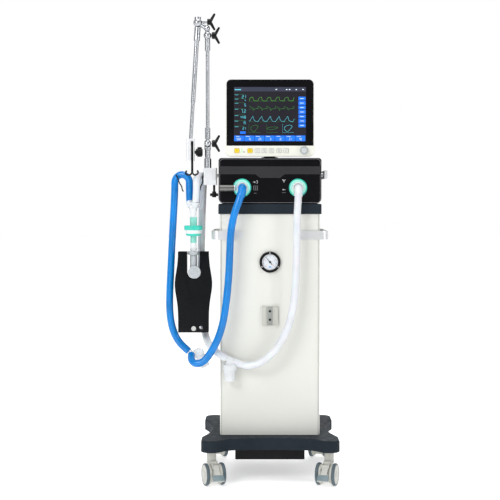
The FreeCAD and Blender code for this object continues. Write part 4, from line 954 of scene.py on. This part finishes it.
def make_lung():
    """Test lung: two stiff plates, pleated bag between them, elbow and grommet."""
    x, y = FILTER_X, FILTER_Y

    def plate_outline(shrink):
        """Whole outline of a plate, with the slot that the elbow comes through."""
        side = lung_outline(shrink)
        top = side[-1][1]
        reach = LUNG_SLOT_HALF + shrink
        slot = []
        for step in range(13):
            angle = math.pi * step / 12
            slot.append((reach * math.cos(angle), LUNG_SLOT_LOW - reach * math.sin(angle)))
        points = side + [(slot[0][0], top)] + slot + [(slot[-1][0], top)]
        points += [(-px, pz) for px, pz in reversed(side)]
        return [(CENTRE_X + x + px, pz) for px, pz in points]

    pleats = 7
    bag_depth = 0.034
    pitch = bag_depth / pleats
    shape = bmesh.new()
    rings = []
    for index in range(2 * pleats + 1):
        outline = plate_outline(0.0028 if index % 2 else 0.006)
        depth = CENTRE_Y + y - bag_depth / 2 + index * pitch / 2
        rings.append([shape.verts.new((px, depth, pz)) for px, pz in outline])
    add_skin(shape, rings)
    bag = piece_from("lung_bag", shape, "lung", "test_lung")
    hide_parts("test_lung")
    pieces = [bag]
    for name, start, end in (("lung_plate_front", -0.0215, -0.0172), ("lung_plate_rear", 0.0172, 0.0215)):
        shape = bmesh.new()
        add_slab(shape, plate_outline(0.0014), CENTRE_Y + y + start, CENTRE_Y + y + end)
        edges = [e for e in shape.edges if abs(e.verts[0].co.y - e.verts[1].co.y) < 1e-6]
        bmesh.ops.bevel(shape, geom=edges, offset=0.0011, segments=2, affect="EDGES", profile=0.7)
        plate = piece_from(name, shape, "lung_plate", "test_lung")
        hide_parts("test_lung")
        pieces.append(plate)
    bore_holes(pieces, at(x + 0.026, y, 0.515), 0.007, 0.06)
    neck = [(0.0, 0.712), (0.0118, 0.712), (0.0122, 0.72), (0.0128, 0.722), (0.0128, 0.725),
            (0.0122, 0.727), (0.0122, 0.764), (0.015, 0.765), (0.0198, 0.766), (0.0204, 0.768),
            (0.0204, 0.775), (0.0198, 0.777), (0.0, 0.777)]
    boss = [(0.0, -0.015), (0.0165, -0.015), (0.0185, -0.0135), (0.02, -0.011), (0.02, 0.016),
            (0.0215, 0.0172), (0.0215, 0.0225), (0.02, 0.0238), (0.015, 0.0232), (0.0, 0.0232)]
    for name, profile, centre, direction in (("lung_neck", neck, at(x, y, 0), (0, 0, 1)),
                                             ("lung_elbow_boss", boss, at(x + 0.004, y, 0.706), FORWARD)):
        fitting = lathe(name, profile, centre, direction, "grey_plastic", "test_lung", 64)
        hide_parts("test_lung")
    eye = [(0.0042, 0.0), (0.0082, 0.0), (0.0086, 0.0008), (0.0078, 0.0018), (0.005, 0.0018),
           (0.0042, 0.001)]
    plug = [(0.0, 0.0), (0.0041, 0.0), (0.0041, 0.0006), (0.0, 0.0006)]
    centre = at(x + 0.001, y - 0.0214, 0.513)
    lathe("lung_grommet", eye, centre, FORWARD, "screw", "test_lung", 40)
    lathe("lung_grommet_eye", plug, centre, FORWARD, "black_ink", "test_lung", 32)


# ---- arm trim
def make_arm_trim():
    """Hose hanger with its curled arms, straps over the two arches, outlet sleeve and knob hubs."""
    straps = {"strap_left": [(-0.322, -0.1465, 1.04), (-0.314, -0.147, 1.024), (-0.311, -0.144, 1.012),
                             (-0.302, -0.15, 1.0), (-0.3, -0.152, 0.986), (-0.296, -0.153, 0.982)],
              "strap_right": [(-0.224, -0.13, 1.042), (-0.232, -0.15, 1.03), (-0.229, -0.15, 1.016),
                              (-0.236, -0.148, 1.002), (-0.24, -0.15, 0.986), (-0.243, -0.151, 0.976)]}
    for name, path in straps.items():
        tube(name, path, 0.0021, "black_plastic", "root")
    left_arm = [(HANGER_X, -0.153, 1.05), (-0.269, -0.158, 1.04), (-0.277, -0.161, 1.038),
                (-0.286, -0.161, 1.04), (-0.289, -0.16, 1.048), (-0.284, -0.159, 1.053)]
    right_arm = [(HANGER_X, -0.153, 1.05), (-0.262, -0.17, 1.04), (-0.256, -0.183, 1.038),
                 (-0.247, -0.186, 1.04), (-0.243, -0.185, 1.048), (-0.248, -0.184, 1.053)]
    stem = [(HANGER_X, HANGER_Y, 1.142), (HANGER_X, HANGER_Y, 1.11), (HANGER_X, -0.1505, 1.08),
            (HANGER_X, -0.153, 1.044)]
    arms = (("hanger_stem", stem, 0.004), ("hanger_arm_left", left_arm, 0.003),
            ("hanger_arm_right", right_arm, 0.003))
    for name, path, radius in arms:
        arm = tube(name, path, radius, "black_plastic", "root")
        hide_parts("hose_hanger")
    ring = [(0.0029, -0.004), (0.008, -0.004), (0.0085, -0.0032), (0.0085, 0.0032), (0.008, 0.004),
            (0.0029, 0.004), (0.0029, -0.004)]
    eye_place = at(HANGER_X, HANGER_Y, 1.146)
    eye = lathe("hanger_eye", ring, eye_place, (1, 0, 0), "black_plastic", "root", 48, closed=False)
    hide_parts("hose_hanger")
    sleeve = [(0.0, -0.0004), (0.01, -0.0004), (0.0112, 0.0008), (0.0113, 0.002), (0.0113, 0.05),
              (0.0, 0.05)]
    lathe("outlet_sleeve", sleeve, at(-0.172, FRONT - 0.013, 0.993), (1, 0, 0), "dark_steel", "root", 64)
    for node, radius in (("lower_t_knob", 0.0125), ("elbow_t_knob", 0.0125), ("head_t_knob", 0.0106)):
        low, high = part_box(node)
        start = Vector((low.x, (low.y + high.y) / 2, (low.z + high.z) / 2))
        hub = [(0.0, 0.0008), (radius * 0.86, 0.0008), (radius, 0.0022), (radius, 0.0125),
               (radius * 0.84, 0.015), (radius * 0.5, 0.0162), (0.0, 0.0162)]
        lathe(node + "_hub", hub, start, (1, 0, 0), "black_shine", node, 10)


# ---- set
def make_world():
    """White studio behind the object and a darker room in front, for the metal to reflect."""
    world = bpy.data.worlds.new("studio")
    bpy.context.scene.world = world
    world.use_nodes = True
    nodes, links = world.node_tree.nodes, world.node_tree.links
    place = nodes.new("ShaderNodeTexCoord")
    split = nodes.new("ShaderNodeSeparateXYZ")
    links.new(place.outputs["Generated"], split.inputs["Vector"])
    scaled = nodes.new("ShaderNodeMapRange")
    scaled.inputs["From Min"].default_value = -1.0
    scaled.inputs["From Max"].default_value = 1.0
    links.new(split.outputs["Y"], scaled.inputs["Value"])
    shade = ramp(nodes, links, scaled.outputs["Result"], (0.42, 0.43, 0.45), (1.0, 1.0, 1.0), 0.45, 0.8)
    links.new(shade, nodes["Background"].inputs["Color"])
    nodes["Background"].inputs["Strength"].default_value = 1.0


def make_stage():
    """Plain pale floor, soft studio lamps and the world around them."""
    half_size = 30.0
    shape = bmesh.new()
    bmesh.ops.create_grid(shape, x_segments=1, y_segments=1, size=half_size)
    floor = mesh_object("floor", shape)
    floor.data.materials.append(MATERIALS["floor"])
    make_world()
    lamps = (("key", (-2.0, -2.7, 2.6), 1.2, 1.2, 46), ("fill", (2.5, -2.2, 1.5), 0.5, 2.0, 18),
             ("strip", (-1.3, -2.9, 1.2), 0.25, 2.0, 12), ("back", (0.8, 2.6, 2.9), 2.2, 2.2, 26),
             ("top", (0.0, -0.5, 3.6), 1.8, 1.8, 36))
    aim = Vector((0, 0, 0.8))
    for name, place, width, height, power in lamps:
        data = bpy.data.lights.new(name, "AREA")
        data.shape = "RECTANGLE"
        data.size = width
        data.size_y = height
        data.energy = power
        lamp = add_object(name, data)
        lamp.location = place
        lamp.rotation_euler = (aim - Vector(place)).to_track_quat("-Z", "Y").to_euler()
    bpy.context.scene.view_settings.view_transform = "Standard"


make_camera()
make_materials()
make_hoses()
paint_nodes()
make_wheels()
make_paddles()
make_gauge()
make_module_front()
make_screen()
make_monitor_trim()
make_monitor_back()
make_cabinet_trim()
make_filter()
make_lung()
make_arm_trim()
make_stage()
